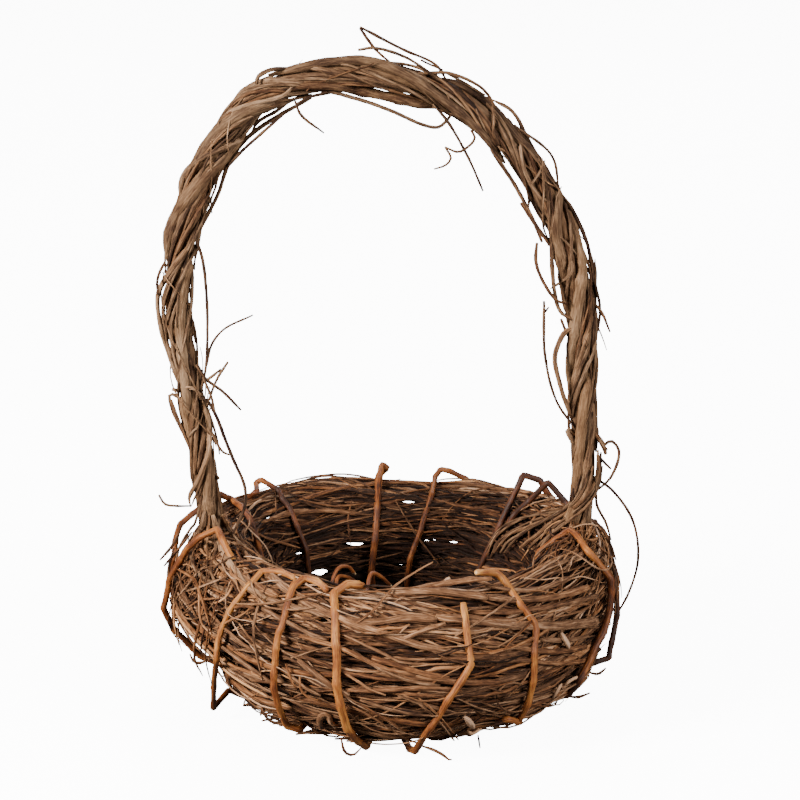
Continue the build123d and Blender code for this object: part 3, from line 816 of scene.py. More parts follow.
def lay_rod(name, thickness, tones, points):
    """One bent rod, thicker and knotted at its kinks, standing for its node."""
    path = bent_line(points, BEND_LENGTH)
    run = run_along(path)
    radius = thickness * MM / 2 * (1 + wander(run, 0.05, 0.025) + wander(run, 0.012, 0.012))
    for corner in points[1:-1]:
        near = np.linalg.norm(path - corner, axis=1)
        radius = radius * (1 + KINK_SWELL * np.exp(-(near / KINK_REACH)**2))
    for place in random.uniform(0, run[-1], 4):
        radius = radius * (1 + random.uniform(0.03, 0.10) * np.exp(-((run - place) / KNOT_REACH)**2))
    side = unit(np.cross(unit(np.gradient(path, axis=0)), ROD_SIDE))
    path = path + side * (wander(run, 0.045, 0.00035) * np.sin(np.pi * run / run[-1]))[:, None]
    path[:, 2] = np.maximum(path[:, 2], radius * 1.08)
    radius = radius * taper(len(path), 0.8, 2)
    facing = unit(path - unit(path * LEVEL) * RING_RADIUS - WALL_MIDDLE)
    tone = np.interp(run / run[-1], np.linspace(0, 1, len(tones)), tones) - ROD_SHADE
    tone = tone + wander(run, 0.03, 0.06)
    rod = Strands()
    rod.add(path, radius, 12, tone, facing, rough=0.035, cut=0.7)
    rod.make(name.replace("lashing", "rod"), cane, "rattan", name)


for route in lashing_routes:
    lay_rod(*route)


# The handle: vines twisted round its line, then the strands that show at its front

FOOT_DEPTH, FOOT_OUTSET, LEG_STRAIGHT, FOOT_TILT = 0.042, 0.004, 0.022, math.radians(3)
LEG_HEIGHTS = (-FOOT_DEPTH, -0.02, 0, LEG_STRAIGHT)
ARCH_REACH, ARCH_RISE = 0.1054, 0.2232
THICK_OFFSET, THICK_RADIUS, THICK_PITCH, THICK_START = 0.0032, 0.0026, 0.172, -22
GROOVE_OFFSET, GROOVE_RADIUS = 0.0047, 0.0012
WRAP_OFFSET, WRAP_RADIUS, WRAP_PITCH = 0.0070, 0.0008, 0.115
KNOT_LENGTH, SIGHT_ROUNDS = 0.0022, 4
arch_shares = (
    (-0.916, 0.310), (-0.976, 0.510), (-0.955, 0.640), (-0.828, 0.822), (-0.600, 0.955), (-0.285, 1.000),
    (0.040, 0.990), (0.325, 0.928), (0.542, 0.835), (0.700, 0.715), (0.810, 0.580), (0.862, 0.430),
    (0.860, 0.290),
)


def handle_points():
    """The handle's line from the left foot's end, over the crown, to the right foot's end."""
    legs = []
    for side in (-1, 1):
        rim = np.array([side * (hull_section(side * 90.0)[0] + FOOT_OUTSET), 0, RIM_HEIGHT])
        rise = np.array([side * math.sin(FOOT_TILT), 0, math.cos(FOOT_TILT)])
        legs.append([rim + rise * height for height in LEG_HEIGHTS])
    bends = [np.array([x * ARCH_REACH, 0, RIM_HEIGHT + z * ARCH_RISE]) for x, z in arch_shares]
    return curve(legs[0] + bends + legs[1][::-1], MM)


HANDLE = handle_points()
HANDLE_ALONG = unit(np.gradient(HANDLE, axis=0))
HANDLE_RUN = run_along(HANDLE)
HANDLE_LENGTH = HANDLE_RUN[-1]
LEFT_RIM, RIGHT_RIM = FOOT_DEPTH, HANDLE_LENGTH - FOOT_DEPTH


def on_handle(distance, offset, turn):
    """Points round the handle's line, with directions away from it: a turn of 0 is outward, 90 is front."""
    centre = between(distance, HANDLE_RUN, HANDLE)
    along = unit(between(distance, HANDLE_RUN, HANDLE_ALONG))
    outward = np.stack([-along[:, 2], 0 * along[:, 0], along[:, 0]], -1)
    turn = np.radians(turn)[:, None]
    away = outward * np.cos(turn) + FRONT * np.sin(turn)
    return centre + away * np.broadcast_to(offset, distance.shape)[:, None], away


def knotted(run, radius, roughness, knots):
    """A vine's radius along its run: slow swells, and knots where side twigs grew."""
    radius = radius * (1 + wander(run, 0.09, roughness) + wander(run, 0.017, roughness * 0.5))
    for _ in range(knots):
        size = random.uniform(0.08, 0.28)
        away = (run - random.uniform(run[0], run[-1])) / KNOT_LENGTH
        radius = radius * (1 + size * np.exp(-away**2))
    return radius


def twist(strands, start, end, offset, angle, pitch, radius, tone, sides, step, wobble, knots, rough,
          lift=(0, 0)):
    """A vine wound round the handle between two distances; lift raises its ends off the others."""
    count = max(int((end - start) / step), 5)
    run = np.linspace(start, end, count)
    starting, ending = near_ends((run - start) / (end - start), 0.18)
    turns = angle + 360 * run / pitch + wander(run, 0.13, 5.0 * wobble)
    reach = offset + wander(run, 0.06, 0.00028 * wobble) + lift[0] * starting + lift[1] * ending
    path, away = on_handle(run, reach, turns)
    shape = knotted(run, radius, 0.06, knots) * taper(count, 0.6)
    strands.add(path, shape, sides, tone + wander(run, 0.08, 0.04), away, rough=rough, cut=0.5)


def wind(name, material, slot, node, **manner):
    """One vine of the twist as a piece of its own, standing for its node."""
    vine = Strands()
    twist(vine, **manner)
    vine.make(name, material, slot, node)


# Each wrap's name, the shares of the handle's length at its ends, and the angle that it starts from
wraps = (
    ("left", 0.14, 0.62, 15), ("crown", 0.30, 0.86, 100), ("right", 0.42, 0.88, 190),
    ("long", 0.16, 0.84, 275),
)
for order, name in enumerate(("first", "second", "third")):
    angle = THICK_START + 120 * order
    wind(
        "vine_" + name, smooth_bark, "handle_bark", "handle_vine_" + name, start=0, end=HANDLE_LENGTH,
        offset=THICK_OFFSET, angle=angle, pitch=THICK_PITCH, radius=THICK_RADIUS * 0.98, tone=0.40, sides=14,
        step=0.0022, wobble=0.25, knots=14, rough=0.05)
    wind(
        "groove_" + name, vine_bark, "handle_bark", "groove_vine_" + name, start=0, end=HANDLE_LENGTH,
        offset=GROOVE_OFFSET, angle=angle + 60, pitch=THICK_PITCH, radius=GROOVE_RADIUS, tone=0.36, sides=9,
        step=0.0025, wobble=0.35, knots=8, rough=0.06)
for name, start, end, angle in wraps:
    wind(
        "wrap_" + name, vine_bark, "vine_bark", "wrap_vine_" + name, start=start * HANDLE_LENGTH,
        end=end * HANDLE_LENGTH, offset=WRAP_OFFSET, angle=angle, pitch=WRAP_PITCH, radius=WRAP_RADIUS,
        tone=0.42, sides=8, step=0.0025, wobble=0.6, knots=6, rough=0.06)

# More strands round the bundle, thicker ones deep and thin ones at the surface
bundle = Strands()
for _ in range(16):
    deep = random.uniform()
    length = random.uniform(0.08, 0.34)
    start = random.uniform(LEFT_RIM - 0.006, RIGHT_RIM - length + 0.006)
    twist(
        bundle, start, start + length, 0.0052 + 0.0018 * deep, random.uniform(0, 360),
        THICK_PITCH * random.uniform(0.75, 1.5), 0.0011 - 0.0006 * deep, random.normal(0.36, 0.15),
        sides=6, step=0.0035, wobble=2.2, knots=2, rough=0.09, lift=random.uniform(-0.001, 0.0014, 2))
for _ in range(26):
    length = random.uniform(0.02, 0.10)
    start = random.uniform(LEFT_RIM, RIGHT_RIM - length)
    twist(
        bundle, start, start + length, random.uniform(0.0062, 0.0078), random.uniform(0, 360),
        random.choice([-1, 1]) * random.uniform(0.06, 0.20), random.uniform(0.00025, 0.0006),
        random.normal(0.34, 0.14), sides=4, step=0.003, wobble=4.0, knots=0, rough=0.1,
        lift=random.uniform(0, 0.005, 2))
bundle.make("bundle_strands", vine_bark, "vine_bark")


def on_twist(pixels, reach):
    """The points of pixels' lines of sight that lie on the handle's front, at a reach from its line."""
    depth = np.zeros(len(pixels))
    for _ in range(SIGHT_ROUNDS):
        points = on_plane(pixels, FRONT, depth)
        gap = np.hypot(points[:, 0:1] - HANDLE[None, :, 0], points[:, 2:3] - HANDLE[None, :, 2]).min(1)
        depth = np.sqrt(np.clip(reach**2 - gap**2, 0, None))
    return points


# Strands at the handle's front: thickness and reach in millimetres, tone, and the pixels along each
front_strands = (
    (6.2, 4.6, 0.50, (167, 260, 169, 238, 175, 219, 184, 203, 206, 175, 228, 153, 248, 126)),
    (6.4, 4.4, 0.50, (192, 175, 210, 143, 221, 129, 244, 112, 275, 102, 290, 94)),
    (2.8, 8.0, 0.54, (181, 202, 181, 185, 186, 172, 205, 156, 224, 148, 243, 137, 248, 126)),
    (1.2, 8.8, 0.36, (176, 216, 198, 180, 211, 154, 223, 142, 242, 126)),
    (2.0, 8.6, 0.70, (225, 114, 247, 105, 280, 97, 289, 91, 294, 84)),
    (3.4, 7.4, 0.55, (232, 102, 244, 91, 256, 84, 269, 81, 297, 83, 312, 86)),
    (1.6, 8.2, 0.42, (227, 111, 237, 101, 248, 94, 265, 91, 289, 91)),
    (1.8, 7.6, 0.42, (173, 260, 183, 239, 205, 200, 220, 172, 229, 160)),
    (1.6, 7.2, 0.50, (182, 260, 192, 236, 204, 213, 210, 198)),
    (2.1, 7.0, 0.36, (188, 251, 201, 227, 218, 194, 228, 165, 246, 139, 278, 116, 312, 98)),
    (1.8, 7.0, 0.30, (251, 133, 258, 122, 278, 110, 290, 101, 312, 94)),
    (2.5, 8.4, 0.62, (192, 242, 167, 276, 158, 295, 160, 323, 169, 355, 178, 380, 179, 388)),
    (1.8, 8.2, 0.50, (189, 249, 168, 284, 163, 309, 167, 341, 175, 369)),
    (5.0, 4.6, 0.68, (190, 247, 184, 280, 180, 309, 181, 343, 185, 378, 189, 420)),
    (1.8, 8.0, 0.66, (180, 295, 171, 326, 173, 350, 180, 378)),
    (1.6, 8.2, 0.40, (176, 284, 170, 308, 167, 325)),
    (3.2, 5.5, 0.32, (186, 348, 193, 378, 195, 388)),
    (1.4, 8.6, 0.78, (183, 387, 193, 388, 202, 397)),
    (1.1, 9.0, 0.82, (188, 389, 196, 390, 201, 400)),
    (4.6, 7.2, 0.43, (268, 75, 290, 70, 330, 62, 372, 62, 410, 77, 450, 105, 485, 136, 505, 163)),
    (4.4, 6.4, 0.40, (288, 86, 326, 86, 361, 91, 402, 100, 435, 108)),
    (2.4, 8.0, 0.42, (292, 70, 310, 68, 339, 74, 387, 83, 412, 89)),
    (1.4, 8.6, 0.56, (330, 64, 347, 65, 382, 78, 418, 95, 450, 116)),
    (1.5, 7.4, 0.30, (321, 74, 351, 80, 377, 83, 423, 97)),
    (1.2, 8.2, 0.42, (336, 68, 361, 73, 407, 90)),
    (5.0, 4.6, 0.22, (438, 82, 465, 100, 492, 132, 502, 149)),
    (4.6, 5.0, 0.30, (430, 78, 462, 87, 491, 107, 517, 138, 540, 164, 557, 197)),
    (1.6, 8.0, 0.40, (460, 89, 471, 100, 483, 114, 495, 132)),
    (2.2, 8.0, 0.42, (493, 114, 508, 142, 524, 180, 529, 194, 528, 211)),
    (1.9, 8.8, 0.42, (491, 99, 512, 111, 526, 135, 541, 164)),
    (2.0, 8.8, 0.60, (519, 141, 526, 174, 540, 197, 551, 202)),
    (1.4, 9.0, 0.50, (521, 141, 540, 164, 548, 174)),
    (1.3, 9.2, 0.62, (545, 160, 541, 170, 530, 187)),
    (5.4, 5.2, 0.50, (557, 182, 557, 212, 556, 231, 562, 262, 566, 294, 570, 321)),
    (5.0, 5.8, 0.62, (558, 190, 567, 211, 577, 240, 582, 272, 577, 310, 572, 348, 569, 392)),
    (1.2, 9.2, 0.50, (491, 98, 494, 120, 493, 131, 496, 140)),
    (2.4, 6.6, 0.35, (589, 248, 592, 266, 590, 304, 586, 334)),
    (2.0, 7.6, 0.42, (592, 263, 593, 285, 590, 322, 581, 348)),
    (1.7, 6.0, 0.28, (586, 266, 588, 285, 584, 323, 581, 337)),
    (2.2, 7.0, 0.30, (595, 259, 595, 285, 593, 329, 591, 365)),
    (2.0, 8.8, 0.62, (591, 328, 581, 355, 571, 387, 569, 401, 571, 419)),
    (1.9, 8.6, 0.55, (590, 342, 580, 369, 571, 398, 570, 411)),
    (1.8, 8.4, 0.50, (591, 355, 584, 374, 573, 406, 571, 421)),
    (3.4, 6.0, 0.36, (591, 366, 594, 399, 594, 419, 596, 452)),
    (1.6, 9.0, 0.64, (570, 258, 573, 268, 569, 276, 550, 289)),
    (5.4, 5.2, 0.58, (589, 372, 584, 406, 580, 442, 576, 487, 571, 516, 560, 530)),
    (4.0, 6.0, 0.60, (590, 392, 592, 420, 587, 460, 581, 491, 574, 512)),
    (5.0, 4.4, 0.68, (183, 395, 186, 418, 189, 434, 191, 446)),
    (2.4, 7.6, 0.50, (197, 396, 193, 422, 191, 445, 192, 467, 193, 487)),
    (1.9, 7.8, 0.52, (198, 405, 196, 436, 195, 477)),
    (2.8, 6.5, 0.40, (203, 400, 204, 427, 199, 464, 198, 476)),
    (2.3, 9.0, 0.68, (202, 398, 209, 427, 208, 454, 197, 482, 189, 499, 191, 507)),
    (1.1, 9.2, 0.50, (207, 459, 202, 479, 191, 507)),
    (4.6, 5.0, 0.54, (207, 445, 209, 476, 208, 494, 212, 530)),
    (3.4, 6.0, 0.42, (210, 450, 215, 480, 221, 516, 225, 532)),
    (1.7, 6.0, 0.25, (201, 479, 203, 507, 206, 525)),
    (1.2, 9.2, 0.60, (188, 439, 193, 431, 198, 427, 199, 418)),
)
REACH_SHARE, THICK_STRAND, THICK_AHEAD, FRONT_SHADE = 0.84, 4.3, 1.5, 0.08
VINE_STEP = 0.0022
strands, thick_strands = Strands(), Strands()
for thickness, reach, tone, row in front_strands:
    thick = thickness > THICK_STRAND
    line = curve(pixel_pairs(row), 1.8 + thickness)
    tucked = 1 - 0.35 * sum(near_ends(np.linspace(0, 1, len(line)), 0.12))
    path = curve(on_twist(line, (reach + THICK_AHEAD * thick) * REACH_SHARE * MM * tucked), VINE_STEP)
    run = np.linspace(0, VINE_STEP * len(path), len(path))
    narrow = 1 - 0.6 * sum(near_ends(np.linspace(0, 1, len(path)), 0.14, 1.5))
    shape = knotted(run, thickness * MM / 2, 0.06, int(thickness * 0.8)) * narrow * taper(len(path), 0.6)
    sides = 6 + 2 * int(thickness > 2) + 4 * int(thickness > 3.3)
    tones = tone - FRONT_SHADE + wander(run, 0.06, 0.05)
    if thick:
        thick_strands.add(path, shape, sides, tones, flat=0.95, rough=0.04, cut=0.5)
    else:
        strands.add(path, shape, sides, tones, flat=0.85, rough=0.06, cut=0.5)
strands.make("front_strands", vine_bark, "vine_bark")
thick_strands.make("front_vines", smooth_bark, "handle_bark")

# Where the handle's strands spread over the rim: thickness, lift, tone, and the pixels on the twist
# and on the wall
foot_strands = (
    (1.6, 2.0, 0.42, (601, 452, 598, 478, 590, 495, 581, 506), (562, 521, 545, 533, 528, 549)),
    (2.0, 2.4, 0.48, (598, 450, 597, 476, 588, 493, 578, 504), (558, 518, 538, 534, 520, 548)),
    (1.6, 1.6, 0.36, (602, 466, 599, 484, 592, 499, 584, 509), (566, 523, 551, 534, 534, 549)),
    (1.7, 1.8, 0.44, (593, 466, 588, 488, 580, 501), (556, 515, 530, 526, 508, 536, 494, 553)),
    (1.4, 1.6, 0.38, (588, 470, 583, 490, 575, 502), (550, 514, 522, 526, 500, 540, 490, 558)),
    (1.5, 1.4, 0.48, (584, 474, 579, 492, 572, 503), (548, 519, 522, 533, 507, 543, 500, 553)),
    (1.2, 1.8, 0.40, (580, 476, 575, 494, 568, 505), (542, 512, 514, 523, 495, 538, 487, 556)),
    (1.4, 1.4, 0.36, (577, 482, 573, 498, 566, 508), (546, 520, 528, 530, 514, 541, 504, 553)),
    (1.2, 2.2, 0.46, (582, 480, 578, 495, 571, 506), (548, 513, 518, 519, 500, 529, 489, 543)),
    (1.8, 2.0, 0.40, (599, 470, 597, 488, 590, 502), (575, 516, 560, 527, 549, 537, 541, 547)),
    (2.6, 2.4, 0.18, (574, 488, 572, 500), (569, 505, 560, 513, 552, 521)),
    (1.4, 2.0, 0.40, (595, 476, 596, 494), (598, 508, 606, 523, 611, 540)),
    (3.5, 1.4, 0.62, (213, 515, 217, 532), (223, 553, 236, 572, 248, 587, 266, 598)),
    (2.2, 1.6, 0.50, (222, 515, 226, 524), (231, 533, 243, 551, 256, 566, 275, 580)),
    (2.6, 1.4, 0.46, (205, 510, 203, 524), (198, 536, 192, 551, 196, 569, 211, 583, 230, 592)),
    (1.6, 2.2, 0.40, (218, 520, 214, 535), (216, 550, 211, 569, 219, 590)),
    (1.8, 1.8, 0.56, (209, 515, 208, 532), (206, 545, 214, 561, 230, 575, 246, 594)),
    (1.3, 2.4, 0.42, (200, 505, 196, 520), (189, 531, 180, 546, 176, 563)),
    (1.4, 2.0, 0.52, (224, 520, 229, 530), (238, 541, 254, 553, 271, 562, 290, 575)),
)
FOOT_REACH, FOOT_SHADE = 0.0080, 0.06
spread = Strands()
for thickness, lift, tone, above, below in foot_strands:
    high, low = on_twist(pixel_pairs(above), FOOT_REACH), on_wall(pixel_pairs(below), lift * MM)
    path = curve(np.vstack([high, low]), VINE_STEP)
    run = np.linspace(0, VINE_STEP * len(path), len(path))
    shape = knotted(run, thickness * MM / 2, 0.06, 2) * taper(len(path), 0.6)
    spread.add(path, shape, 8, tone - FOOT_SHADE + wander(run, 0.06, 0.05), flat=0.85, rough=0.06, cut=0.5)
spread.make("foot_strands", vine_bark, "vine_bark")

# Strands that stand off the handle: thickness, tone, millimetres in front of its middle, and pixels
loose_strands = (
    (1.3, 0.45, 3, (257, 84, 257, 78, 270, 70, 292, 68)),
    (0.8, 0.25, 4, (227, 167, 242, 151, 262, 133, 284, 114)),
    (0.7, 0.30, 5, (165, 262, 159, 274, 157, 284, 158, 295)),
    (0.9, 0.30, 5, (195, 237, 202, 257, 207, 303, 206, 366, 201, 392)),
    (0.55, 0.30, 5, (207, 365, 211, 346, 223, 330, 253, 315)),
    (0.8, 0.32, 6, (196, 365, 205, 378, 223, 392, 241, 410)),
    (1.0, 0.45, 6, (204, 382, 214, 375, 221, 369)),
    (0.65, 0.45, 7, (228, 362, 217, 379, 207, 406)),
    (0.6, 0.45, 7, (203, 377, 211, 396, 215, 412)),
    (1.2, 0.70, 2, (172, 389, 183, 392)),
    (0.9, 0.50, 2, (183, 400, 170, 394, 172, 409, 184, 435, 188, 444)),
    (1.3, 0.42, 4, (321, 91, 336, 93, 387, 109, 421, 124, 439, 127, 453, 113)),
    (0.7, 0.25, 5, (297, 104, 310, 97, 327, 92)),
    (0.6, 0.30, 5, (295, 101, 301, 115, 324, 133)),
    (0.8, 0.35, 3, (358, 50, 375, 48, 407, 58, 442, 82)),
    (0.7, 0.25, 3, (360, 28, 375, 49, 391, 63)),
    (0.7, 0.25, 2, (360, 27, 402, 49, 436, 65, 448, 83)),
    (0.5, 0.25, 2, (421, 60, 431, 65, 443, 70)),
    (0.9, 0.42, 3, (408, 75, 433, 73, 449, 73, 483, 89, 496, 108)),
    (0.5, 0.40, 3, (446, 73, 465, 83, 485, 95)),
    (1.5, 0.28, 1, (558, 192, 573, 211, 589, 250, 590, 263)),
    (1.3, 0.32, 5, (491, 149, 511, 179, 530, 213, 542, 242)),
    (1.2, 0.36, 5, (521, 203, 538, 228, 557, 255)),
    (0.6, 0.30, 3, (514, 125, 552, 156, 559, 194)),
    (0.6, 0.42, 5, (471, 130, 475, 138, 470, 145, 458, 152, 445, 147)),
    (0.5, 0.42, 5, (445, 147, 451, 158, 446, 165, 434, 169)),
    (0.6, 0.22, 5, (433, 104, 448, 122, 469, 159, 483, 191)),
    (1.9, 0.50, 5, (574, 327, 565, 332, 555, 357, 562, 391, 570, 415)),
    (1.0, 0.30, 5, (537, 243, 536, 263, 544, 283, 556, 300, 567, 304)),
    (1.4, 0.42, 5, (552, 230, 552, 266, 560, 311, 573, 320)),
    (0.7, 0.36, 5, (544, 301, 545, 355, 556, 400, 576, 430)),
    (0.5, 0.36, 5, (545, 312, 549, 307)),
    (0.8, 0.25, 2, (595, 282, 600, 310, 594, 347)),
    (0.8, 0.36, 2, (595, 304, 602, 313, 610, 332)),
    (0.8, 0.30, 4, (561, 319, 565, 329, 571, 342)),
    (1.1, 0.40, 3, (171, 400, 178, 420, 191, 451)),
    (0.9, 0.25, 6, (203, 398, 210, 404, 231, 454, 245, 488, 245, 505, 233, 534)),
    (0.6, 0.35, 6, (210, 429, 223, 452, 231, 455)),
    (1.0, 0.30, 4, (211, 468, 219, 479)),
    (0.5, 0.40, 0, (159, 495, 165, 504, 176, 506, 191, 506)),
    (0.8, 0.34, 2, (602, 447, 611, 441, 619, 451, 611, 477, 595, 492)),
    (0.9, 0.25, 3, (597, 455, 611, 469)),
    (0.7, 0.30, 0, (599, 480, 613, 491, 633, 521, 638, 560, 629, 592, 619, 611)),
    (1.6, 0.55, 3, (574, 435, 567, 428, 570, 438, 576, 445)),
    (2.2, 0.45, 3, (594, 433, 602, 443, 606, 454)),
    (1.2, 0.55, 3, (596, 434, 604, 446, 607, 450)),
)
LOOSE_THICKER, LOOSE_SHADE, LOOSE_STEP = 0.80, 0.06, 0.002
PIXEL_STEP, LOOSE_MM_PER_PIXEL, SWAY_START = 3.0, 0.48, 0.02
loose = Strands()
for thickness, tone, depth, row in loose_strands:
    line = curve(pixel_pairs(row), PIXEL_STEP)
    run = np.linspace(0, len(line) * PIXEL_STEP * LOOSE_MM_PER_PIXEL * MM, len(line))
    sway = wander(run, 0.09, 0.0022) * np.clip(run / SWAY_START, 0, 1)
    path = curve(on_plane(line, FRONT, depth * MM + sway), LOOSE_STEP)
    radius = (thickness + LOOSE_THICKER) * MM / 2
    shape = radius * np.linspace(1.1, 0.85, len(path)) * taper(len(path), 0.75)
    loose.add(path, shape, 6, tone - LOOSE_SHADE, cut=0.3)
loose.make("loose_strands", vine_bark, "vine_bark")


# The floor: two layers of crossing twigs, with a thin tangle over them

FLOOR_REACH, OUTERMOST = 0.0770, 0.92
LOWER_TWIGS, UPPER_TWIGS, TANGLE_HEIGHT = 0.0053, 0.0082, 0.0102
TANGLE_MIDDLES, TANGLE_EDGE, TANGLE_RISE_FROM, TANGLE_RISE = 0.060, 0.074, 0.056, 3.0
LEAST_SAMPLES = 8


def floor_layer(name, node, height, along, count):
    """Side-by-side twigs across the floor that bow a little, standing for one CAD layer."""
    layer = Strands()
    across = np.array([-along[1], along[0], 0])
    for place in np.linspace(-OUTERMOST, OUTERMOST, count):
        place = place + random.normal(0, 0.012)
        half = FLOOR_REACH * math.sqrt(1 - min(abs(place), 0.99)**2)
        run = np.linspace(-half, half, max(int(half * 2 / 0.005), 5))
        aside = place * FLOOR_REACH + wander(run, 0.08, 0.0022) + random.normal(0, 0.09) * run
        size = random.uniform(0.0017, 0.0034)
        path = run[:, None] * along + aside[:, None] * across
        path[:, 2] = height + wander(run, 0.05, 0.0003) + random.normal(0, 0.0004)
        path[:, 2] = np.maximum(path[:, 2], size / 2 + 0.0003)
        layer.add(path, size / 2 * taper(len(path)), 6, random.normal(0.36, 0.10), UP, cut=0.6)
    layer.make(name, twig_bark, "floor_twig", node)


def tangle_path():
    """A curled thin twig over the floor: the first stretch of it inside the wall, or none."""
    angle, length = random.uniform(0, ANY_PHASE), random.uniform(0.04, 0.13)
    run = np.linspace(-length / 2, length / 2, int(length / 0.0035))
    place, about = TANGLE_MIDDLES * math.sqrt(random.uniform()), random.uniform(0, ANY_PHASE)
    curl = random.normal(0, 6)
    heading = angle + curl * run + wander(run, 0.05, 0.25)
    path = np.stack([np.cumsum(np.cos(heading)), np.cumsum(np.sin(heading)), 0 * run], -1) * (run[1] - run[0])
    path = path - path.mean(0) + np.array([place * math.cos(about), place * math.sin(about), 0])
    plan = np.hypot(path[:, 0], path[:, 1])
    path[:, 2] = TANGLE_HEIGHT + random.uniform(0, 0.0035) + wander(run, 0.04, 0.0006)
    path[:, 2] += TANGLE_RISE * np.clip(plan - TANGLE_RISE_FROM, 0, None)**1.5
    inside = plan < TANGLE_EDGE
    first = int(np.argmax(inside))
    last = first + int(np.argmin(np.append(inside[first:], False)))
    return path[first:last]


floor_layer("lower_twigs", "floor_lower_twigs", LOWER_TWIGS, np.array([1.0, 0, 0]), 60)
floor_layer("upper_twigs", "floor_upper_twigs", UPPER_TWIGS, np.array([0, 1.0, 0]), 58)
tangle = Strands()
for _ in range(int(190 * share_of_twigs)):
    path = tangle_path()
    if len(path) >= LEAST_SAMPLES:
        radius = random.uniform(0.0005, 0.0013) * taper(len(path))
        tangle.add(path, radius, 5, random.normal(0.38, 0.13), UP, cut=0.6)
tangle.make("floor_tangle", twig_bark, "floor_twig")


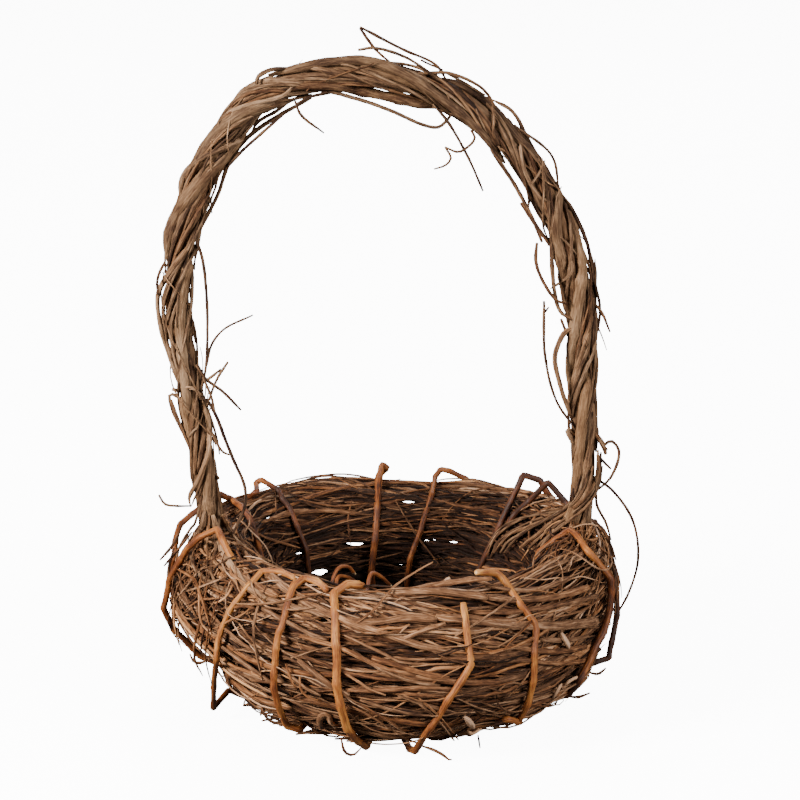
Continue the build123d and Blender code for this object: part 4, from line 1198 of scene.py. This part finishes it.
# Sticks and strands of the wall that the photograph shows: thickness, lift in millimetres, tone, pixels
wall_strands = (
    (5.0, 1.0, 0.62, (392, 593, 430, 591, 462, 594, 495, 598)),
    (5.6, 0.8, 0.60, (436, 617, 492, 622, 535, 626, 570, 625, 601, 621)),
    (3.6, 1.0, 0.50, (372, 658, 400, 666, 428, 675, 457, 679)),
    (2.8, 1.6, 0.68, (400, 640, 425, 630, 457, 620)),
    (2.8, 1.2, 0.52, (398, 695, 432, 707, 470, 718)),
    (1.3, 2.2, 0.66, (408, 696, 436, 718, 459, 747)),
    (1.3, 2.4, 0.60, (414, 694, 440, 717, 463, 746)),
    (1.6, 2.4, 0.56, (497, 698, 500, 689, 512, 683, 526, 685)),
    (1.2, 2.6, 0.50, (496, 700, 503, 709, 517, 712, 530, 706)),
    (2.2, 2.4, 1.15, (564, 685, 571, 680, 578, 677)),
    (2.6, 2.2, 1.10, (553, 698, 558, 690, 561, 684)),
    (3.0, 2.6, 0.95, (462, 716, 468, 720, 473, 728)),
    (2.4, 2.8, 1.10, (466, 730, 472, 734, 480, 729)),
    (3.4, 3.2, 0.86, (561, 633, 566, 641, 569, 648)),
    (2.6, 2.8, 1.10, (443, 584, 446, 580, 450, 578)),
    (2.2, 1.4, 0.66, (425, 672, 440, 668, 455, 668, 470, 662)),
    (4.2, 1.0, 0.54, (340, 618, 372, 622, 404, 618, 445, 620)),
    (2.4, 1.4, 0.62, (300, 636, 340, 648, 384, 668, 420, 676)),
    (1.6, 1.8, 0.60, (342, 634, 380, 652, 404, 663, 430, 664)),
    (2.0, 1.6, 0.58, (352, 650, 378, 668, 410, 681, 452, 687)),
    (1.4, 2.2, 0.70, (343, 672, 362, 684, 378, 694, 394, 696)),
    (3.0, 1.2, 0.48, (346, 690, 380, 691, 420, 688, 462, 691)),
    (2.2, 1.6, 0.46, (360, 700, 398, 712, 440, 716, 470, 712)),
    (1.5, 2.0, 0.58, (352, 706, 380, 722, 404, 738, 420, 744)),
    (1.5, 2.2, 0.54, (360, 704, 390, 722, 412, 736)),
    (3.8, 1.0, 0.60, (266, 598, 290, 606, 316, 612, 336, 620)),
    (2.6, 1.4, 0.56, (258, 606, 284, 620, 310, 634, 336, 642)),
    (3.2, 1.2, 0.52, (298, 660, 318, 676, 338, 690, 360, 700)),
    (2.2, 1.6, 0.60, (282, 668, 308, 690, 332, 700)),
    (4.4, 1.0, 0.55, (478, 596, 520, 600, 560, 596, 592, 586)),
    (3.0, 1.4, 0.50, (470, 612, 510, 612, 552, 606, 598, 596)),
    (2.4, 1.6, 0.60, (540, 640, 570, 640, 596, 634)),
    (3.4, 1.2, 0.46, (474, 640, 510, 646, 552, 652, 590, 646)),
    (2.6, 1.4, 0.52, (476, 664, 520, 660, 560, 664, 588, 660)),
    (2.0, 1.8, 0.62, (480, 655, 500, 651, 530, 640, 560, 622)),
    (1.4, 2.4, 0.66, (455, 636, 478, 622, 505, 604, 522, 590)),
    (2.8, 1.0, 0.40, (500, 700, 530, 692, 560, 678, 580, 664)),
    (1.2, 2.6, 0.58, (440, 655, 462, 652, 480, 655, 500, 650)),
    (1.5, 3.0, 0.60, (433, 562, 412, 574, 390, 590, 378, 606, 364, 618, 346, 628)),
    (1.8, 2.0, 0.74, (372, 632, 388, 628, 404, 628, 412, 622)),
    (1.0, 3.0, 0.76, (398, 634, 410, 624)),
    (4.6, 0.6, 0.62, (212, 552, 236, 571, 262, 589, 290, 600)),
    (1.5, 3.0, 0.70, (184, 592, 206, 585, 232, 574)),
    (1.6, 3.0, 0.78, (212, 603, 223, 600, 234, 584)),
    (1.2, 3.0, 0.64, (245, 566, 262, 604, 290, 610, 322, 606)),
    (1.8, 2.4, 0.60, (232, 608, 246, 606, 258, 610)),
    (1.3, 2.6, 0.56, (208, 645, 212, 626, 216, 614)),
    (2.0, 1.8, 0.56, (170, 598, 186, 622, 206, 644, 226, 660)),
    (1.6, 2.0, 0.50, (172, 580, 176, 604, 190, 626)),
    (2.2, 1.6, 0.60, (212, 640, 240, 660, 262, 676, 276, 686)),
    (1.8, 1.6, 0.52, (200, 600, 220, 624, 246, 646, 270, 660)),
    (1.6, 2.0, 0.62, (300, 676, 301, 690, 310, 698, 322, 701)),
    (1.4, 2.2, 0.58, (286, 664, 292, 682, 298, 690)),
    (2.6, 1.0, 0.50, (290, 700, 312, 710, 334, 716, 352, 722)),
    (3.0, 1.8, 0.62, (322, 728, 320, 718, 328, 712, 330, 722, 342, 728)),
    (1.8, 1.6, 0.50, (250, 680, 266, 682, 284, 686)),
    (3.2, 1.2, 0.58, (476, 580, 500, 588, 536, 590, 570, 578)),
    (4.0, 1.0, 0.60, (398, 594, 430, 586, 470, 580, 500, 578)),
)
JUMP = 0.025
STICK_STEP, STICK_PIXEL_STEP, STICK_SHARE, STICK_SHADE = 0.0025, 4, 0.88, 0.10
LONG_STICK, SHORT_STICK = 12, 8


def held_near(line, path):
    """The path with what lies past a jump to the far wall brought as far forward as the last near place."""
    ahead = path @ forward
    first = last = int(ahead.argmax())
    while first > 0 and abs(ahead[first - 1] - ahead[first]) < JUMP:
        first -= 1
    while last < len(path) - 1 and abs(ahead[last + 1] - ahead[last]) < JUMP:
        last += 1
    near = np.arange(first, last + 1)
    return on_plane(line, forward, np.interp(np.arange(len(path)), near, ahead[near]))


front_sticks = Strands()
for thickness, lift, tone, row in wall_strands:
    thickness *= STICK_SHARE
    line = curve(pixel_pairs(row), STICK_PIXEL_STEP)
    share = np.linspace(0, 1, len(line))
    sunk = 1 - 0.9 * sum(near_ends(share, 0.15))
    path = held_near(line, on_wall(line, lift * MM * sunk))
    if len(path) > LONG_STICK:
        path = between(share, share[::4], path[::4])
    path = curve(path[::2] if len(path) > SHORT_STICK else path, STICK_STEP)
    facing = unit(path - unit(path * LEVEL) * RING_RADIUS - WALL_MIDDLE)
    run = np.linspace(0, len(path) * STICK_STEP, len(path))
    shape = knotted(run, thickness * MM / 2, 0.07, int(thickness * 0.6)) * taper(len(path), 0.75, 2)
    tones = tone - STICK_SHADE + wander(run, 0.05, 0.05)
    sides = 8 if thickness > 2 else 6
    front_sticks.add(path, shape, sides, tones, facing, flat=0.7, rough=0.07, cut=0.9)
front_sticks.make("front_sticks", twig_bark, "twig_bundle")

# A tangle of thin crooked twigs at the foot of the handle, left and right
SECTION_RADIUS = 0.024
fray = Strands()
for _ in range(int(110 * share_of_twigs)):
    right = random.uniform() < 0.3
    azimuth = random.normal(84, 9) if right else random.normal(-76, 13)
    turn = random.normal(62, 22)
    length = random.uniform(0.012, 0.045)
    run = np.linspace(-length / 2, length / 2, max(int(length / 0.0028), 6))
    heading = random.uniform(0, ANY_PHASE)
    heading = heading + random.normal(0, 40) * run
    step = run[1] - run[0]
    azimuths = azimuth + np.degrees(np.cumsum(np.cos(heading)) * step / RING_RADIUS) + kinks(run, 0.012, 0.9)
    turns = turn + np.degrees(np.cumsum(np.sin(heading)) * step / SECTION_RADIUS) + kinks(run, 0.012, 2.4)
    lifts = random.uniform(0.0006, 0.0032) + wander(run, 0.03, 0.0008)
    path, away = on_hull(azimuths, turns, lifts)
    radius = random.uniform(0.0003, 0.0008) * taper(len(path))
    fray.add(path, radius, 5, random.normal(0.46, 0.16), away, cut=0.6)
fray.make("fray_twigs", twig_bark, "twig_bundle")

# Strands that stand off the wall: thickness, tone, millimetres in front of its middle, and pixels
wall_wisps = (
    (0.8, 0.40, 62, (262, 700, 264, 713, 272, 722, 288, 721)),
    (0.7, 0.40, 62, (264, 704, 272, 711, 276, 706, 270, 700)),
    (0.7, 0.30, 90, (341, 738, 345, 752, 353, 755, 361, 748)),
    (0.8, 0.40, 92, (420, 745, 438, 752, 452, 762)),
    (0.7, 0.30, 86, (478, 735, 480, 748)),
    (1.0, 0.35, 46, (566, 696, 578, 697, 590, 693)),
    (0.9, 0.30, 32, (588, 672, 598, 674, 606, 668)),
    (1.0, 0.35, 4, (180, 531, 172, 546, 160, 560)),
    (0.7, 0.35, 6, (192, 532, 176, 552, 164, 566)),
    (0.8, 0.40, 10, (174, 548, 169, 566, 168, 580, 170, 590)),
    (1.0, 0.45, 20, (190, 654, 194, 662, 204, 662, 208, 656)),
    (0.8, 0.35, 12, (170, 600, 180, 622, 190, 640)),
    (0.8, 0.35, 8, (600, 560, 610, 572, 614, 590)),
    (0.6, 0.30, 4, (592, 520, 604, 530, 612, 548, 616, 560)),
)
WISP_THICKER, WISP_SHADE = 0.75, 0.06
wisps = Strands()
for thickness, tone, ahead, row in wall_wisps:
    thickness += WISP_THICKER
    path = curve(on_plane(curve(pixel_pairs(row), PIXEL_STEP), forward, ahead * MM), LOOSE_STEP)
    path[:, 2] = np.maximum(path[:, 2], thickness * MM)
    wisps.add(path, thickness * MM / 2 * taper(len(path), 0.5), 6, tone - WISP_SHADE, cut=0.3)

# Strands across the bowl's inside: thickness, lift, tone, pixels
inner_strands = (
    (1.0, 1.6, 0.56, (270, 545, 300, 536, 345, 522, 400, 510)),
    (0.9, 1.6, 0.50, (352, 500, 348, 520, 351, 545)),
    (1.2, 1.4, 0.54, (300, 500, 335, 506, 370, 503)),
    (2.4, 1.0, 0.56, (262, 522, 290, 514, 330, 511, 372, 516)),
    (2.0, 1.0, 0.50, (436, 500, 470, 508, 500, 512)),
    (1.4, 1.6, 0.60, (240, 520, 262, 536, 300, 548)),
    (1.0, 2.0, 0.52, (395, 500, 420, 540, 440, 565)),
    (1.2, 1.4, 0.46, (450, 520, 480, 530, 505, 548)),
    (1.0, 1.6, 0.50, (330, 566, 370, 560, 404, 552)),
)
INNER_SHADE, INNER_STEP, INNER_PIXEL_STEP = 0.20, 0.003, 6
for thickness, lift, tone, row in inner_strands:
    path = curve(on_wall(curve(pixel_pairs(row), INNER_PIXEL_STEP), lift * MM, 0.0), INNER_STEP)
    wisps.add(path, thickness * MM / 2 * taper(len(path), 0.5), 6, tone - INNER_SHADE, cut=0.5)
wisps.make("wall_wisps", twig_bark, "twig_bundle")

# Thin red-brown shoots that bend up inside the near rim: thickness, tone, and pixels with millimetres
# in front of the middle
rim_shoots = (
    (1.7, 0.26, ((328, 606, 70), (334, 576, 62), (340, 567, 58), (349, 567, 54), (355, 574, 50))),
    (1.7, 0.30, ((335, 600, 70), (338, 577, 62), (347, 577, 56), (358, 583, 50))),
    (1.9, 0.24, ((366, 600, 70), (371, 574, 62), (380, 576, 56), (391, 586, 48))),
)
shoots = Strands()
for thickness, tone, places in rim_shoots:
    path = curve([on_plane([(x, y)], forward, ahead * MM)[0] for x, y, ahead in places], LOOSE_STEP)
    shoots.add(path, thickness * MM / 2 * taper(len(path), 0.7), 8, tone, cut=1.0)
shoots.make("rim_shoots", cane, "rattan")

for name, twigs in courses.items():
    twigs.make(name.replace("_vines", "").replace("_vine", "") + "_twigs", twig_bark, "twig_bundle", name)


# The floor, lights and camera

FLOOR_HALF, FLOOR_GLOW = 4.0, 11.0
PALE, LIGHT = (0.94, 0.94, 0.94, 1), (1, 1, 1, 1)
LIT_PLACE = (0, 0, 0.12)
SKY_STRENGTH = 0.16
SENSOR_WIDTH, SIGHT_LIMIT = 36, 50
lights = (
    ("key", (-1.5, -0.75, 0.85), 0.55, 104, (1.0, 0.965, 0.92)),
    ("fill", (1.4, -1.3, 0.85), 0.8, 57, (1, 1, 1)),
    ("rim", (0.3, 1.4, 1.4), 1.0, 26, (1, 1, 1)),
)


def area_light(name, place, size, power, colour):
    """A square light that shines at the basket."""
    data = bpy.data.lights.new(name, "AREA")
    data.shape = "SQUARE"
    data.size = size
    data.energy = power
    data.color = colour
    lamp = bpy.data.objects.new(name, data)
    lamp.location = place
    lamp.rotation_euler = Vector(np.subtract(LIT_PLACE, place)).to_track_quat("-Z", "Y").to_euler()
    bpy.context.scene.collection.objects.link(lamp)


floor_mesh = bpy.data.meshes.new("table")
corners = [(x * FLOOR_HALF, y * FLOOR_HALF, 0) for x, y in ((-1, -1), (1, -1), (1, 1), (-1, 1))]
floor_mesh.from_pydata(corners, [], [(0, 1, 2, 3)])
table = bpy.data.objects.new("table", floor_mesh)
bpy.context.scene.collection.objects.link(table)
pale = bpy.data.materials.new("pale_table")
pale.use_nodes = True
pale_inputs = pale.node_tree.nodes["Principled BSDF"].inputs
pale_inputs["Base Color"].default_value = PALE
pale_inputs["Roughness"].default_value = 0.9
pale_inputs["Emission Color"].default_value = LIGHT
pale_inputs["Emission Strength"].default_value = FLOOR_GLOW
floor_mesh.materials.append(pale)
table.visible_diffuse = False
table.visible_glossy = False

for light in lights:
    area_light(*light)

world = bpy.data.worlds.new("studio")
world.use_nodes = True
sky_inputs = world.node_tree.nodes["Background"].inputs
sky_inputs["Color"].default_value = LIGHT
sky_inputs["Strength"].default_value = SKY_STRENGTH
bpy.context.scene.world = world

camera_data = bpy.data.cameras.new("camera")
camera_data.sensor_width = SENSOR_WIDTH
camera_data.lens = SENSOR_WIDTH * FOCAL_PIXELS / IMAGE_SIZE
camera_data.clip_end = SIGHT_LIMIT
camera = bpy.data.objects.new("camera", camera_data)
basis = np.eye(4)
basis[:3] = np.stack([camera_right, camera_up, camera_back, camera_eye], 1)
camera.matrix_world = Matrix(basis.tolist())
bpy.context.scene.collection.objects.link(camera)
bpy.context.scene.camera = camera
